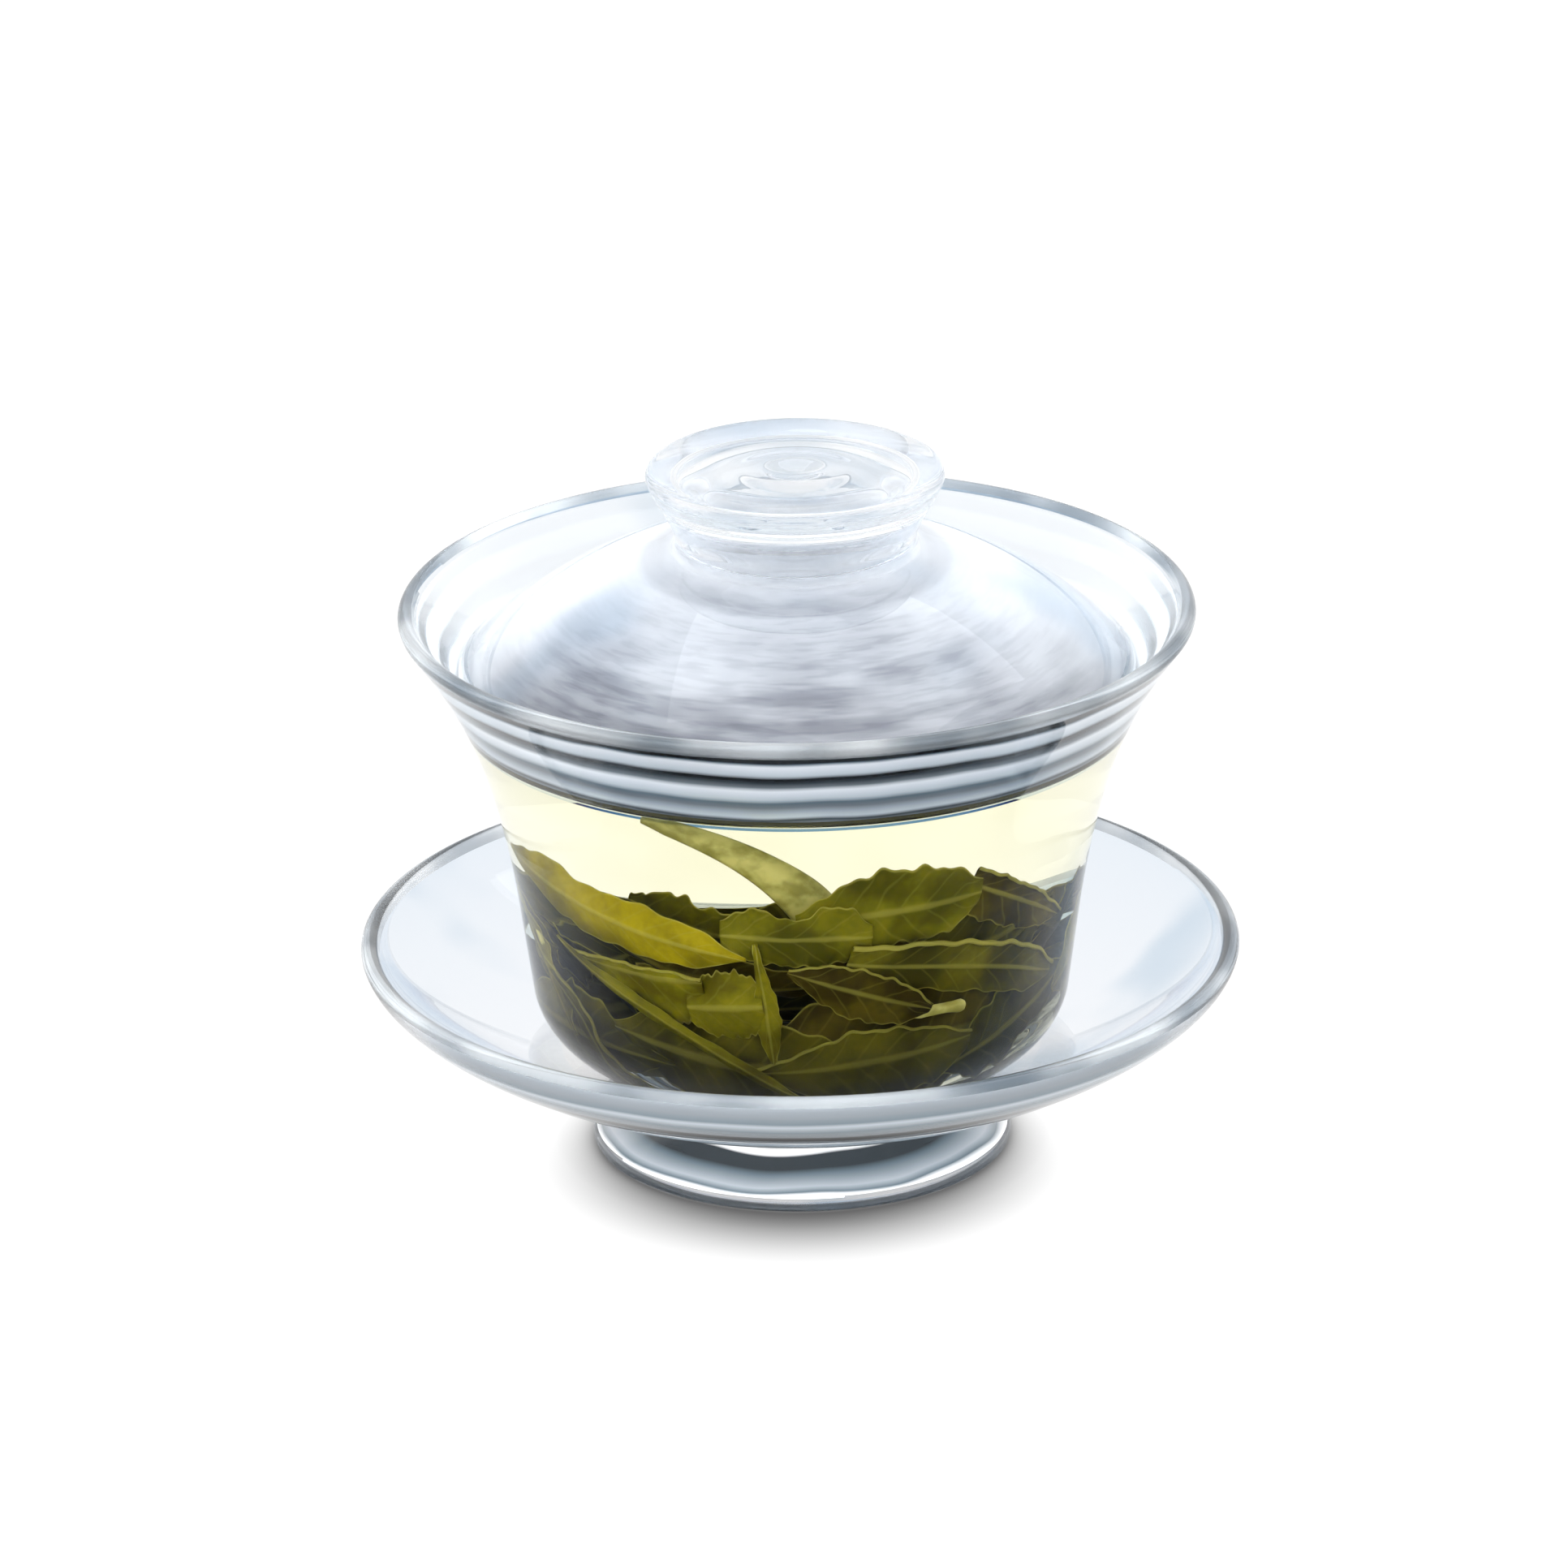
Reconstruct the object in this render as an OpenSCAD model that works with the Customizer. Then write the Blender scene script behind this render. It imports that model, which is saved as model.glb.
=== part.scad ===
// Glass gaiwan: a lidded tea bowl on a footed saucer, holding steeped green tea.
// Three loose pieces of blown glass stand in each other: lid in bowl, bowl in saucer.
// Origin: on the table, under the centre of the saucer. +Z up, front towards -Y. Millimetres.

/* [Bowl] */
// Radius of the bowl's lip
bowl_lip_r = 49; // [48.5:0.1:49.5]
// Height of the lip above the table
bowl_lip_z = 70.4; // [70:0.1:71.5]
// Radius of the waist, where the flare begins
bowl_waist_r = 34.5; // [34.3:0.1:35.2]
// Height of the waist
bowl_waist_z = 30.6; // [29:0.1:32]
// Thickness of the bowl's wall
bowl_wall = 2.0; // [1.8:0.1:2.2]
// Height of the bowl's underside above the table
bowl_base_z = 12.4; // [12.2:0.1:12.6]

/* [Saucer] */
// Radius of the saucer's rim
saucer_r = 54.4; // [53:0.1:56]
// Height of the saucer's rim above the table
saucer_h = 27; // [26:0.1:28]
// Thickness of the saucer's glass
saucer_wall = 2.2; // [2:0.1:2.4]
// Height of the flat well that the bowl stands in
well_z = 11.4; // [11.2:0.1:11.5]
// Radius of the rolled edge of the pedestal
foot_r = 26; // [25:0.1:27]

/* [Lid] */
// Radius of the sphere that the dome is a cap of
dome_sphere_r = 59; // [58.2:0.1:59.2]
// Height of that sphere's centre above the table
dome_centre_z = 20.9; // [20.8:0.1:22]
// Angle above the horizontal at which the dome ends in its rim
dome_rim_angle = 45.6; // [45.5:0.1:48]
// Thickness of the dome's glass
lid_wall = 2.0; // [1.8:0.1:2.2]
// Radius of the knob's rim
knob_r = 18.3; // [17.5:0.1:19]
// Height of the knob's rim above the table
knob_top_z = 88.3; // [87.5:0.1:89.5]
// Thickness of the knob's glass
knob_wall = 1.7; // [1.5:0.1:2]

/* [Tea] */
// Height of the tea's surface above the table
tea_level = 56.5; // [54:0.1:58]
// Thickness of a leaf's blade
leaf_thick = 0.5; // [0.4:0.1:0.6]
// Radius of a stem
stem_r = 0.7; // [0.5:0.1:0.8]

/* [Hidden] */
$fn = 96;
// Steps along one curve of a profile
curve_steps = 12;
// Steps round one bead
bead_steps = 10;
// Clearance between the tea and the glass, and between the bowl's foot and the saucer's well
film = 0.1;
// Depth to which two glass parts sink into each other where they are welded
weld = 0.3;

// Colours, each with its opacity
GLASS = [0.86, 0.91, 0.94, 0.35];
WELDED_GLASS = [0.78, 0.86, 0.92, 0.45];
TEA = [0.93, 0.92, 0.62, 0.4];
LEAF_GREENS = [[0.45, 0.46, 0.11], [0.36, 0.38, 0.10], [0.30, 0.31, 0.09]];
STEM_GREEN = [0.66, 0.62, 0.30];

// Bowl: the flare's angle at the lip, and how far each curve follows its end's direction
flare_angle = 36;
flare_reach_top = 8.8;
flare_reach_waist = 22.5;
// Bowl: slope of the lower side from the vertical, and the rounded corner below it
side_slope = 8;
side_end_z = 21;
side_end_r = bowl_waist_r - (bowl_waist_z - side_end_z) * tan(side_slope);
corner_reach = 4.2;
base_reach = 6.6;
base_r = 22;
// Bowl: the ring that it stands on
ring_outer_r = 21.5;
ring_inner_r = 18.9;
ring_round = 0.6;

// Saucer: steepness of its side below the rim, measured from the vertical
saucer_rim_slope = 13.4;
saucer_reach_rim = 5.8;
saucer_reach_well = 18;
saucer_floor_slope = 6.5;
saucer_floor_r = 17;
saucer_floor_z = 8.3;
well_r = 22.3;
// Saucer: the pedestal's neck, its flare and the rolled edge
neck_r = 17;
neck_reach = 3.4;
flare_reach_foot = 6.2;
flare_slope_foot = 17;
foot_bead_r = 1.15;
foot_wall = 2.0;
foot_flat = 0.9;

// Lid: how the knob widens from its neck, and the shallow dish in its top
knob_neck_r = 14.8;
knob_neck_z = 78.9;
knob_bead_r = 1.25;
knob_lip = 1.6;
knob_side_slope = 25;
knob_reach_neck = 2.4;
knob_reach_rim = 4;
knob_dish_r = knob_r - 8;
knob_dish_z = knob_top_z - 0.8;
knob_swell_r = 4.5;
knob_swell_z = knob_top_z - 0.45;
knob_dimple_z = knob_top_z - 1.4;
// Lid: rounded corner of the hollow inside the knob
knob_corner = 3;

// Leaves against the wall: [azimuth, distance from the axis, height, length, width, slope, lean,
// bend radius]. Azimuth 0 faces the front and grows towards +X. A positive slope puts the +X end
// lower, and a positive lean tips the upper edge outwards. The heap is high in front and low behind.
WALL_LEAVES = [
    [-45, 30.9, 39.4, 34, 8, 9, 4, 31],
    [38, 30.2, 30.8, 32, 8.5, 15, 2, 31],
    [14, 29.4, 22.4, 25, 9, -8, 6, 30],
    [-34, 29.0, 22.2, 30, 5, 17, 4, 30],
    [-40, 28.2, 31.0, 17, 9, 26, 2, 26],
    [-14, 29.2, 31.8, 10, 6, -12, 0, 26],
    [-8, 26.6, 29.5, 15, 6, 78, 0, 24],
    [-1, 28.8, 40.2, 17, 8, 4, 6, 24],
    [24, 28.4, 42.6, 18, 10, -4, 8, 24],
    [-55, 25.4, 21.6, 17, 7, 36, 10, 26],
    [-76, 29.2, 28.0, 17, 6, 52, 0, 28],
    [64, 28.6, 37.4, 17, 9, 24, 4, 26],
    [62, 27.6, 21.2, 16, 8, -28, 6, 26],
    [96, 30.2, 27.4, 26, 9, -16, 0, 30],
    [106, 28.4, 37.0, 18, 8, 10, 6, 28],
    [112, 26.6, 20.0, 20, 7, 12, 6, 28],
    [134, 28.7, 29.4, 22, 8, 14, 2, 29],
    [150, 28.0, 21.0, 22, 8, -10, 6, 28],
    [172, 30.2, 29.0, 22, 8, -8, 4, 30],
    [188, 27.0, 21.0, 24, 8, 10, 4, 27],
    [206, 25.2, 20.0, 20, 7, -12, 6, 25],
    [214, 28.8, 28.4, 24, 8, 8, 2, 29],
    [240, 28.4, 21.6, 22, 8, -16, 4, 28],
    [262, 30.4, 31.0, 22, 9, -12, 4, 30],
    [-18, 26.8, 17.2, 20, 5, 4, 34, 28],
    [28, 26.6, 17.2, 14, 5, 0, 34, 28],
    [-66, 26.6, 17.4, 18, 5, 0, 34, 28]
];
// Leaves inside the heap lie in rings: [radius, height at the sides, how much higher in front,
// how many, length, width, lean]. They lean further towards the middle, where they lie flat, and
// the last ring lies on the bowl's floor.
HEAP_RINGS = [
    [23.0, 30.5, 4, 6, 21, 10, 24],
    [18.6, 26.0, 4, 5, 20, 10, 38],
    [12.2, 20.8, 4, 4, 15, 8, 54],
    [6.8, 18.0, 4, 2, 14, 8, 72],
    [20.2, 16.8, 0, 5, 21, 8, 66]
];
// Turn from one ring to the next, and the slope of its leaves, to one side and the other by turns.
// The ring on the floor lies level.
heap_turn = 40;
heap_slope = 6;

// Stems: [azimuth, distance from the axis, height, length, slope]
STEMS = [
    [34, 27.2, 25.8, 7, 4],
    [-16, 20.0, 44.0, 22, 34],
    [-78, 31.2, 31.8, 6, 20],
    [168, 25.6, 30.0, 16, -14]
];

// A leaf of a ring, as a row like those of WALL_LEAVES
function heap_leaf(ring, i, turn) =
    let (azimuth = turn + 360 * i / ring[3])
    [
        azimuth, ring[0], ring[1] + ring[2] * cos(azimuth), ring[4], ring[5],
        ring[2] == 0 ? 0 : heap_slope * (i % 2 == 0 ? 1 : -1), ring[6], ring[0] / cos(ring[6])
    ];
LEAVES = concat(
    WALL_LEAVES,
    [
        for (k = [0:len(HEAP_RINGS) - 1])
        for (i = [0:HEAP_RINGS[k][3] - 1])
        heap_leaf(HEAP_RINGS[k], i, k * heap_turn)
    ]
);

function two_digits(i) = str(i < 10 ? "0" : "", i);
function leaf_name(i) = str("tea_leaf_", two_digits(i + 1));
function stem_name(i) = str("tea_stem_", two_digits(i + 1));

// ---- Curves, as lists of [radius, height] points ----

function direction(angle) = [cos(angle), sin(angle)];
function bezier_point(p, t) =
    pow(1 - t, 3) * p[0] + 3 * pow(1 - t, 2) * t * p[1] + 3 * (1 - t) * t * t * p[2] + pow(t, 3) * p[3];
function bezier(p, steps) = [for (i = [0:steps]) bezier_point(p, i / steps)];
function arc(centre, r, from, to, steps) =
    [for (i = [0:steps]) centre + r * direction(from + (to - from) * i / steps)];
// Unit vector to the left of the curve's way at point i
function left_of(curve, i) =
    let (
        a = curve[max(i - 1, 0)],
        b = curve[min(i + 1, len(curve) - 1)],
        along = (b - a) / norm(b - a)
    )
    [-along[1], along[0]];
function shifted(curve, distance) = [for (i = [0:len(curve) - 1]) curve[i] + distance * left_of(curve, i)];
function reversed(list) = [for (i = [len(list) - 1:-1:0]) list[i]];
function without_first(list) = [for (i = [1:len(list) - 1]) list[i]];

// ---- Bowl ----

bowl_bead_r = bowl_wall / 2;
bowl_bead = [bowl_lip_r - bowl_bead_r, bowl_lip_z - bowl_bead_r];
flare_start = bowl_bead + bowl_bead_r * direction(-flare_angle);
waist = [bowl_waist_r, bowl_waist_z];
side_end = [side_end_r, side_end_z];
base_edge = [base_r, bowl_base_z];
// Outer side from the lip down to the edge of the flat base
bowl_outer = concat(
    bezier([
        flare_start,
        flare_start + flare_reach_top * direction(-90 - flare_angle),
        waist + flare_reach_waist * direction(90 - side_slope),
        waist
    ], 2 * curve_steps),
    bezier([
        side_end,
        side_end + corner_reach * direction(-90 - side_slope),
        base_edge + [base_reach, 0],
        base_edge
    ], curve_steps)
);
bowl_inner = shifted(bowl_outer, -bowl_wall);
bowl_floor_z = bowl_base_z + bowl_wall;
bowl_lip = arc(bowl_bead, bowl_bead_r, 180 - flare_angle, -flare_angle, bead_steps);

module bowl_body() {
    color(GLASS)
    rotate_extrude()
    polygon(concat(
        reversed(bowl_inner),
        [for (i = [1:bead_steps - 1]) bowl_lip[i]],
        bowl_outer,
        [[0, bowl_base_z], [0, bowl_floor_z]]
    ));
}

module bowl_foot() {
    ring_z = well_z + film;
    color(WELDED_GLASS)
    rotate_extrude()
    polygon(concat(
        [[ring_inner_r, bowl_base_z + weld]],
        arc([ring_inner_r + ring_round, ring_z + ring_round], ring_round, 180, 270, bead_steps),
        arc([ring_outer_r - ring_round, ring_z + ring_round], ring_round, 270, 360, bead_steps),
        [[ring_outer_r, bowl_base_z + weld]]
    ));
}

// ---- Saucer ----

saucer_bead_r = saucer_wall / 2;
saucer_bead = [saucer_r - saucer_bead_r, saucer_h - saucer_bead_r];
saucer_start = saucer_bead + saucer_bead_r * direction(-saucer_rim_slope);
saucer_floor = [saucer_floor_r, saucer_floor_z];
// Underside from the rim's bead down to the pedestal
saucer_under = bezier([
    saucer_start,
    saucer_start + saucer_reach_rim * direction(-90 - saucer_rim_slope),
    saucer_floor + saucer_reach_well * direction(saucer_floor_slope),
    saucer_floor
], 2 * curve_steps);
saucer_over = [for (p = shifted(saucer_under, -saucer_wall)) if (p[1] > well_z + film) p];
saucer_lip = arc(saucer_bead, saucer_bead_r, 180 - saucer_rim_slope, -saucer_rim_slope, bead_steps);

module saucer_dish() {
    color(GLASS)
    rotate_extrude()
    polygon(concat(
        [[0, well_z], [well_r, well_z]],
        reversed(saucer_over),
        [for (i = [1:bead_steps - 1]) saucer_lip[i]],
        saucer_under,
        [[0, saucer_floor_z]]
    ));
}

foot_bead = [foot_r - foot_bead_r, foot_bead_r];
foot_start = foot_bead + foot_bead_r * direction(90 - flare_slope_foot);
foot_top = [neck_r, saucer_floor_z + weld];
// Upper side of the pedestal, from its neck to its rolled edge
foot_upper = bezier([
    foot_top,
    foot_top + [0, -neck_reach],
    foot_start + flare_reach_foot * direction(180 - flare_slope_foot),
    foot_start
], 2 * curve_steps);
foot_edge = arc(foot_bead, foot_bead_r, 90 - flare_slope_foot, -90, bead_steps);
foot_under = [for (p = shifted(foot_upper, -foot_wall)) if (p[1] > foot_flat) p];

module saucer_foot() {
    color(WELDED_GLASS)
    rotate_extrude()
    polygon(concat(
        foot_upper,
        without_first(foot_edge),
        [[foot_bead[0] - foot_flat, 0]],
        reversed(foot_under)
    ));
}

// ---- Lid ----

dome_centre = [0, dome_centre_z];
lid_bead_r = lid_wall / 2;
lid_bead = dome_centre + (dome_sphere_r - lid_bead_r) * direction(dome_rim_angle);
dome_inner_r = dome_sphere_r - lid_wall;
function dome_z(r) = dome_centre_z + sqrt(dome_sphere_r * dome_sphere_r - r * r);

module lid_dome() {
    color(GLASS)
    rotate_extrude()
    polygon(concat(
        arc(dome_centre, dome_sphere_r, 90, dome_rim_angle, 2 * curve_steps),
        without_first(arc(lid_bead, lid_bead_r, dome_rim_angle, dome_rim_angle - 180, bead_steps)),
        without_first(arc(dome_centre, dome_inner_r, dome_rim_angle, 90, 2 * curve_steps))
    ));
}

knob_bead = [knob_r - knob_bead_r, knob_top_z - knob_bead_r];
knob_neck = [knob_neck_r, knob_neck_z];
knob_weld = [knob_neck_r + knob_lip, dome_z(knob_neck_r + knob_lip) - weld];
// Side of the knob from its weld on the dome, round its rim, to the dimple in its top
knob_side_end = knob_bead + knob_bead_r * direction(-knob_side_slope);
knob_side = bezier([
    knob_neck,
    knob_neck + [0, knob_reach_neck],
    knob_side_end + knob_reach_rim * direction(-90 - knob_side_slope),
    knob_side_end
], curve_steps);
knob_edge = arc(knob_bead, knob_bead_r, -knob_side_slope, 90, bead_steps);
// A curve that leaves and reaches its ends level, for the dished top
function level_curve(a, b) =
    bezier([a, [(a[0] + b[0]) / 2, a[1]], [(a[0] + b[0]) / 2, b[1]], b], curve_steps);
knob_dish = level_curve(knob_bead + [0, knob_bead_r], [knob_dish_r, knob_dish_z]);
knob_swell = level_curve([knob_dish_r, knob_dish_z], [knob_swell_r, knob_swell_z]);
knob_dimple = level_curve([knob_swell_r, knob_swell_z], [0, knob_dimple_z]);
knob_inner_r = knob_bead[0] - knob_wall;
knob_ceiling_z = knob_dish_z - knob_wall;
knob_hollow_r = knob_neck_r - knob_wall;

module lid_knob() {
    color(WELDED_GLASS)
    rotate_extrude()
    polygon(concat(
        [knob_weld],
        knob_side,
        without_first(knob_edge),
        without_first(knob_dish),
        without_first(knob_swell),
        without_first(knob_dimple),
        [[0, knob_dimple_z - knob_wall]],
        bezier([
            [knob_inner_r - knob_corner, knob_ceiling_z],
            [knob_inner_r, knob_ceiling_z],
            [knob_inner_r, knob_ceiling_z],
            [knob_inner_r, knob_ceiling_z - knob_corner]
        ], curve_steps),
        [[knob_hollow_r, knob_neck_z]],
        [[knob_hollow_r, dome_z(knob_hollow_r) - weld]]
    ));
}

// ---- Tea ----

// The tea fills the bowl to its level, a film away from the glass
tea_side = [for (p = shifted(bowl_inner, -film)) if (p[1] < tea_level) p];

module tea_liquor() {
    top_r = tea_side[0][0] + (tea_level - tea_side[0][1]) * tan(side_slope);
    color(TEA)
    rotate_extrude()
    polygon(concat(
        [[0, tea_level], [top_r, tea_level]],
        tea_side,
        [[0, bowl_floor_z + film]]
    ));
}

// A leaf's outline: two arcs that meet in a point at each end
module leaf_outline(length, width) {
    arc_r = (length * length + width * width) / (4 * width);
    intersection() {
        translate([0, arc_r - width / 2]) circle(r = arc_r);
        translate([0, width / 2 - arc_r]) circle(r = arc_r);
    }
}

// A blade along X that bends round an upright axis behind it
module leaf_blade(length, width, bend) {
    intersection() {
        translate([0, bend, 0])
        rotate([90, 0, 0])
        linear_extrude(height = bend + leaf_thick)
        leaf_outline(length, width);
        translate([0, bend, 0])
        difference() {
            cylinder(r = bend, h = 2 * width + length, center = true);
            cylinder(r = bend - leaf_thick, h = 3 * width + length, center = true);
        }
    }
}

module tea_leaf(leaf, i) {
    color(LEAF_GREENS[i % len(LEAF_GREENS)])
    rotate([0, 0, leaf[0]])
    translate([0, -leaf[1], leaf[2]])
    rotate([leaf[6], leaf[5], 0])
    leaf_blade(leaf[3], leaf[4], leaf[7]);
}

module tea_stem(stem) {
    color(STEM_GREEN)
    rotate([0, 0, stem[0]])
    translate([0, -stem[1], stem[2]])
    rotate([0, 90 + stem[4], 0])
    cylinder(r = stem_r, h = stem[3], center = true);
}

lid_dome();
lid_knob();
bowl_body();
bowl_foot();
saucer_dish();
saucer_foot();
tea_liquor();
for (i = [0:len(LEAVES) - 1])
    tea_leaf(LEAVES[i], i);
for (i = [0:len(STEMS) - 1])
    tea_stem(STEMS[i]);
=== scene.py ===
"""Glass gaiwan with green tea: the looks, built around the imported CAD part.

The three loose glass pieces are lathed at high resolution from the same curves as the CAD part,
with the slight waviness of hand-blown glass. The tea is a clear absorbing liquid with a meniscus,
and every leaf and stem is its own curled, veined mesh. Lengths are given in millimetres.
"""

import math
import random
from dataclasses import dataclass

import bpy
from mathutils import Matrix, Vector


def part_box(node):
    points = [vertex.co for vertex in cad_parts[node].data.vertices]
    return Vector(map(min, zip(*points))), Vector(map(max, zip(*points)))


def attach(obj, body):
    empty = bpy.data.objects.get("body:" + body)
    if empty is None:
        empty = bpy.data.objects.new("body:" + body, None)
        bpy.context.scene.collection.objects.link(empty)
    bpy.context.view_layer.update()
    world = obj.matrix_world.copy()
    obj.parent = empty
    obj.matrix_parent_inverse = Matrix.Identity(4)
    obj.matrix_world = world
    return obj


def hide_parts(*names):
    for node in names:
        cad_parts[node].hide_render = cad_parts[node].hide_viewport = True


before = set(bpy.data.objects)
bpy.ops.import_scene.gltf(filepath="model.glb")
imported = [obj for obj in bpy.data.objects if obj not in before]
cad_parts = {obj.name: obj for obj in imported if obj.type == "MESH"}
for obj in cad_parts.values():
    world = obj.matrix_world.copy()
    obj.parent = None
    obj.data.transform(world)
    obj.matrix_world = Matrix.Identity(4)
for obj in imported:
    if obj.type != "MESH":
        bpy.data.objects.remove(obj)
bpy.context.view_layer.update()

MM = 0.001
TAU = 2 * math.pi

# ---- Sizes, from the frame ----


def box_mm(node):
    """Lowest and highest corners of a CAD node, in millimetres."""
    low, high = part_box(node)
    return [v / MM for v in low], [v / MM for v in high]


BOWL_LOW, BOWL_HIGH = box_mm("bowl_body")
RING_LOW, RING_HIGH = box_mm("bowl_foot")
SAUCER_LOW, SAUCER_HIGH = box_mm("saucer_dish")
FOOT_LOW, FOOT_HIGH = box_mm("saucer_foot")
DOME_HIGH = box_mm("lid_dome")[1]
KNOB_HIGH = box_mm("lid_knob")[1]
TEA_TOP = box_mm("tea_liquor")[1][2]

# A pull is how far one end of a curve runs straight before it bends.
# Bowl
BOWL_WALL = 2.0
LIP_BEAD = BOWL_WALL / 2
LIP_AT = Vector((BOWL_HIGH[0] - LIP_BEAD, BOWL_HIGH[2] - LIP_BEAD))
FLARE_ANGLE = 36
LIP_PULL = 8.8
WAIST = Vector((34.5, 30.6))
WAIST_PULL = 22.5
SIDE_SLOPE = 8
SIDE_END_Z = 21
SIDE_PULL = 4.2
BASE_R = 22
BASE_PULL = 6.6
RING_INNER_R = 18.9
RING_CORNER = 0.6
# Saucer
SAUCER_WALL = 2.2
SAUCER_BEAD = SAUCER_WALL / 2
SAUCER_LIP_AT = Vector((SAUCER_HIGH[0] - SAUCER_BEAD, SAUCER_HIGH[2] - SAUCER_BEAD))
RIM_SLOPE = 13.4
RIM_PULL = 5.8
WELL_R = 22.3
WELL_Z = RING_LOW[2] - 0.1
WELL_SLOPE = 6.5
WELL_PULL = 18
# Pedestal
NECK_R = 17
NECK_PULL = 3.4
FOOT_WALL = 2.0
FOOT_BEAD = 1.15
FOOT_EDGE_AT = Vector((FOOT_HIGH[0] - FOOT_BEAD, FOOT_LOW[2] + FOOT_BEAD))
FOOT_SLOPE = 17
FOOT_PULL = 6.2
# Lid
DOME_R = 59
DOME_CENTRE = Vector((0, DOME_HIGH[2] - DOME_R))
DOME_RIM_ANGLE = 45.6
LID_WALL = 2.0
LID_BEAD = LID_WALL / 2
WELD_SPREAD = 2.2
# Knob
KNOB_R, KNOB_TOP = KNOB_HIGH[0], KNOB_HIGH[2]
KNOB_WALL = 1.7
KNOB_BEAD = 1.25
KNOB_NECK = Vector((14.8, 78.9))
KNOB_DISH = KNOB_TOP - 0.8
KNOB_SWELL = KNOB_TOP - 0.45
KNOB_DIMPLE = KNOB_TOP - 1.4
KNOB_SIDE_ANGLE = -25

# ---- Curves: lists of (radius, height) points ----


def heading(angle):
    a = math.radians(angle)
    return Vector((math.cos(a), math.sin(a)))


def bezier(a, b, c, d, steps=24):
    """Points on the cubic curve from a to d, pulled by b and c."""
    points = []
    for i in range(steps + 1):
        t = i / steps
        s = 1 - t
        points.append(s**3 * a + 3 * s * s * t * b + 3 * s * t * t * c + t**3 * d)
    return points


def arc(centre, radius, start, end, steps=16):
    return [
        centre + radius * heading(start + (end - start) * i / steps)
        for i in range(steps + 1)
    ]


def shifted(curve, distance):
    """The curve moved sideways by a distance, to its left when that is positive."""
    moved = []
    last = len(curve) - 1
    for i, point in enumerate(curve):
        along = (curve[min(i + 1, last)] - curve[max(i - 1, 0)]).normalized()
        moved.append(point + distance * Vector((-along.y, along.x)))
    return moved


def cleaned(curve, least=0.02):
    """The curve without points that lie on top of the one before."""
    kept = [curve[0]]
    for point in curve[1:]:
        if (point - kept[-1]).length > least:
            kept.append(point)
    return kept


def bowl_side():
    """The bowl's outer side from its lip to the edge of its base."""
    start = LIP_AT + LIP_BEAD * heading(-FLARE_ANGLE)
    side_r = WAIST.x - (WAIST.y - SIDE_END_Z) * math.tan(math.radians(SIDE_SLOPE))
    side_end = Vector((side_r, SIDE_END_Z))
    base = Vector((BASE_R, BOWL_LOW[2]))
    flare = bezier(
        start,
        start + LIP_PULL * heading(-90 - FLARE_ANGLE),
        WAIST + WAIST_PULL * heading(90 - SIDE_SLOPE),
        WAIST,
        64,
    )
    corner = bezier(
        side_end,
        side_end + SIDE_PULL * heading(-90 - SIDE_SLOPE),
        base + Vector((BASE_PULL, 0)),
        base,
        32,
    )
    return flare + corner


def bowl_outline():
    """The bowl with the ring under it, from the middle of its floor to that of its underside."""
    outer = bowl_side()
    inner = shifted(outer, -BOWL_WALL)
    lip = arc(LIP_AT, LIP_BEAD, 180 - FLARE_ANGLE, -FLARE_ANGLE)
    floor = BOWL_LOW[2] + BOWL_WALL
    corner_z = RING_LOW[2] + RING_CORNER
    outer_corner = Vector((RING_HIGH[0] - RING_CORNER, corner_z))
    inner_corner = Vector((RING_INNER_R + RING_CORNER, corner_z))
    ring = [Vector((RING_HIGH[0], BOWL_LOW[2] - 0.05))]
    ring += arc(outer_corner, RING_CORNER, 0, -90, 8)
    ring += arc(inner_corner, RING_CORNER, -90, -180, 8)
    ring += [Vector((RING_INNER_R - 0.4, BOWL_LOW[2]))]
    middle = [Vector((r, BOWL_LOW[2] + 0.1)) for r in (12, 6, 0)]
    inside = [Vector((r, floor)) for r in (0, 6, 12, 18)]
    return cleaned(inside + inner[::-1] + lip[1:-1] + outer + ring + middle)


def saucer_under():
    """The saucer's underside from its rim to its pedestal."""
    start = SAUCER_LIP_AT + SAUCER_BEAD * heading(-RIM_SLOPE)
    floor = Vector((NECK_R, SAUCER_LOW[2]))
    return bezier(
        start, start + RIM_PULL * heading(-90 - RIM_SLOPE),
        floor + WELL_PULL * heading(WELL_SLOPE), floor, 64,
    )


def foot_flare():
    """The pedestal's upper side from its neck to its rolled edge."""
    edge = FOOT_EDGE_AT + FOOT_BEAD * heading(90 - FOOT_SLOPE)
    top = Vector((NECK_R, SAUCER_LOW[2] + 0.3))
    return bezier(
        top, top + Vector((0, -NECK_PULL)), edge + FOOT_PULL * heading(180 - FOOT_SLOPE), edge, 40
    )


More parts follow.
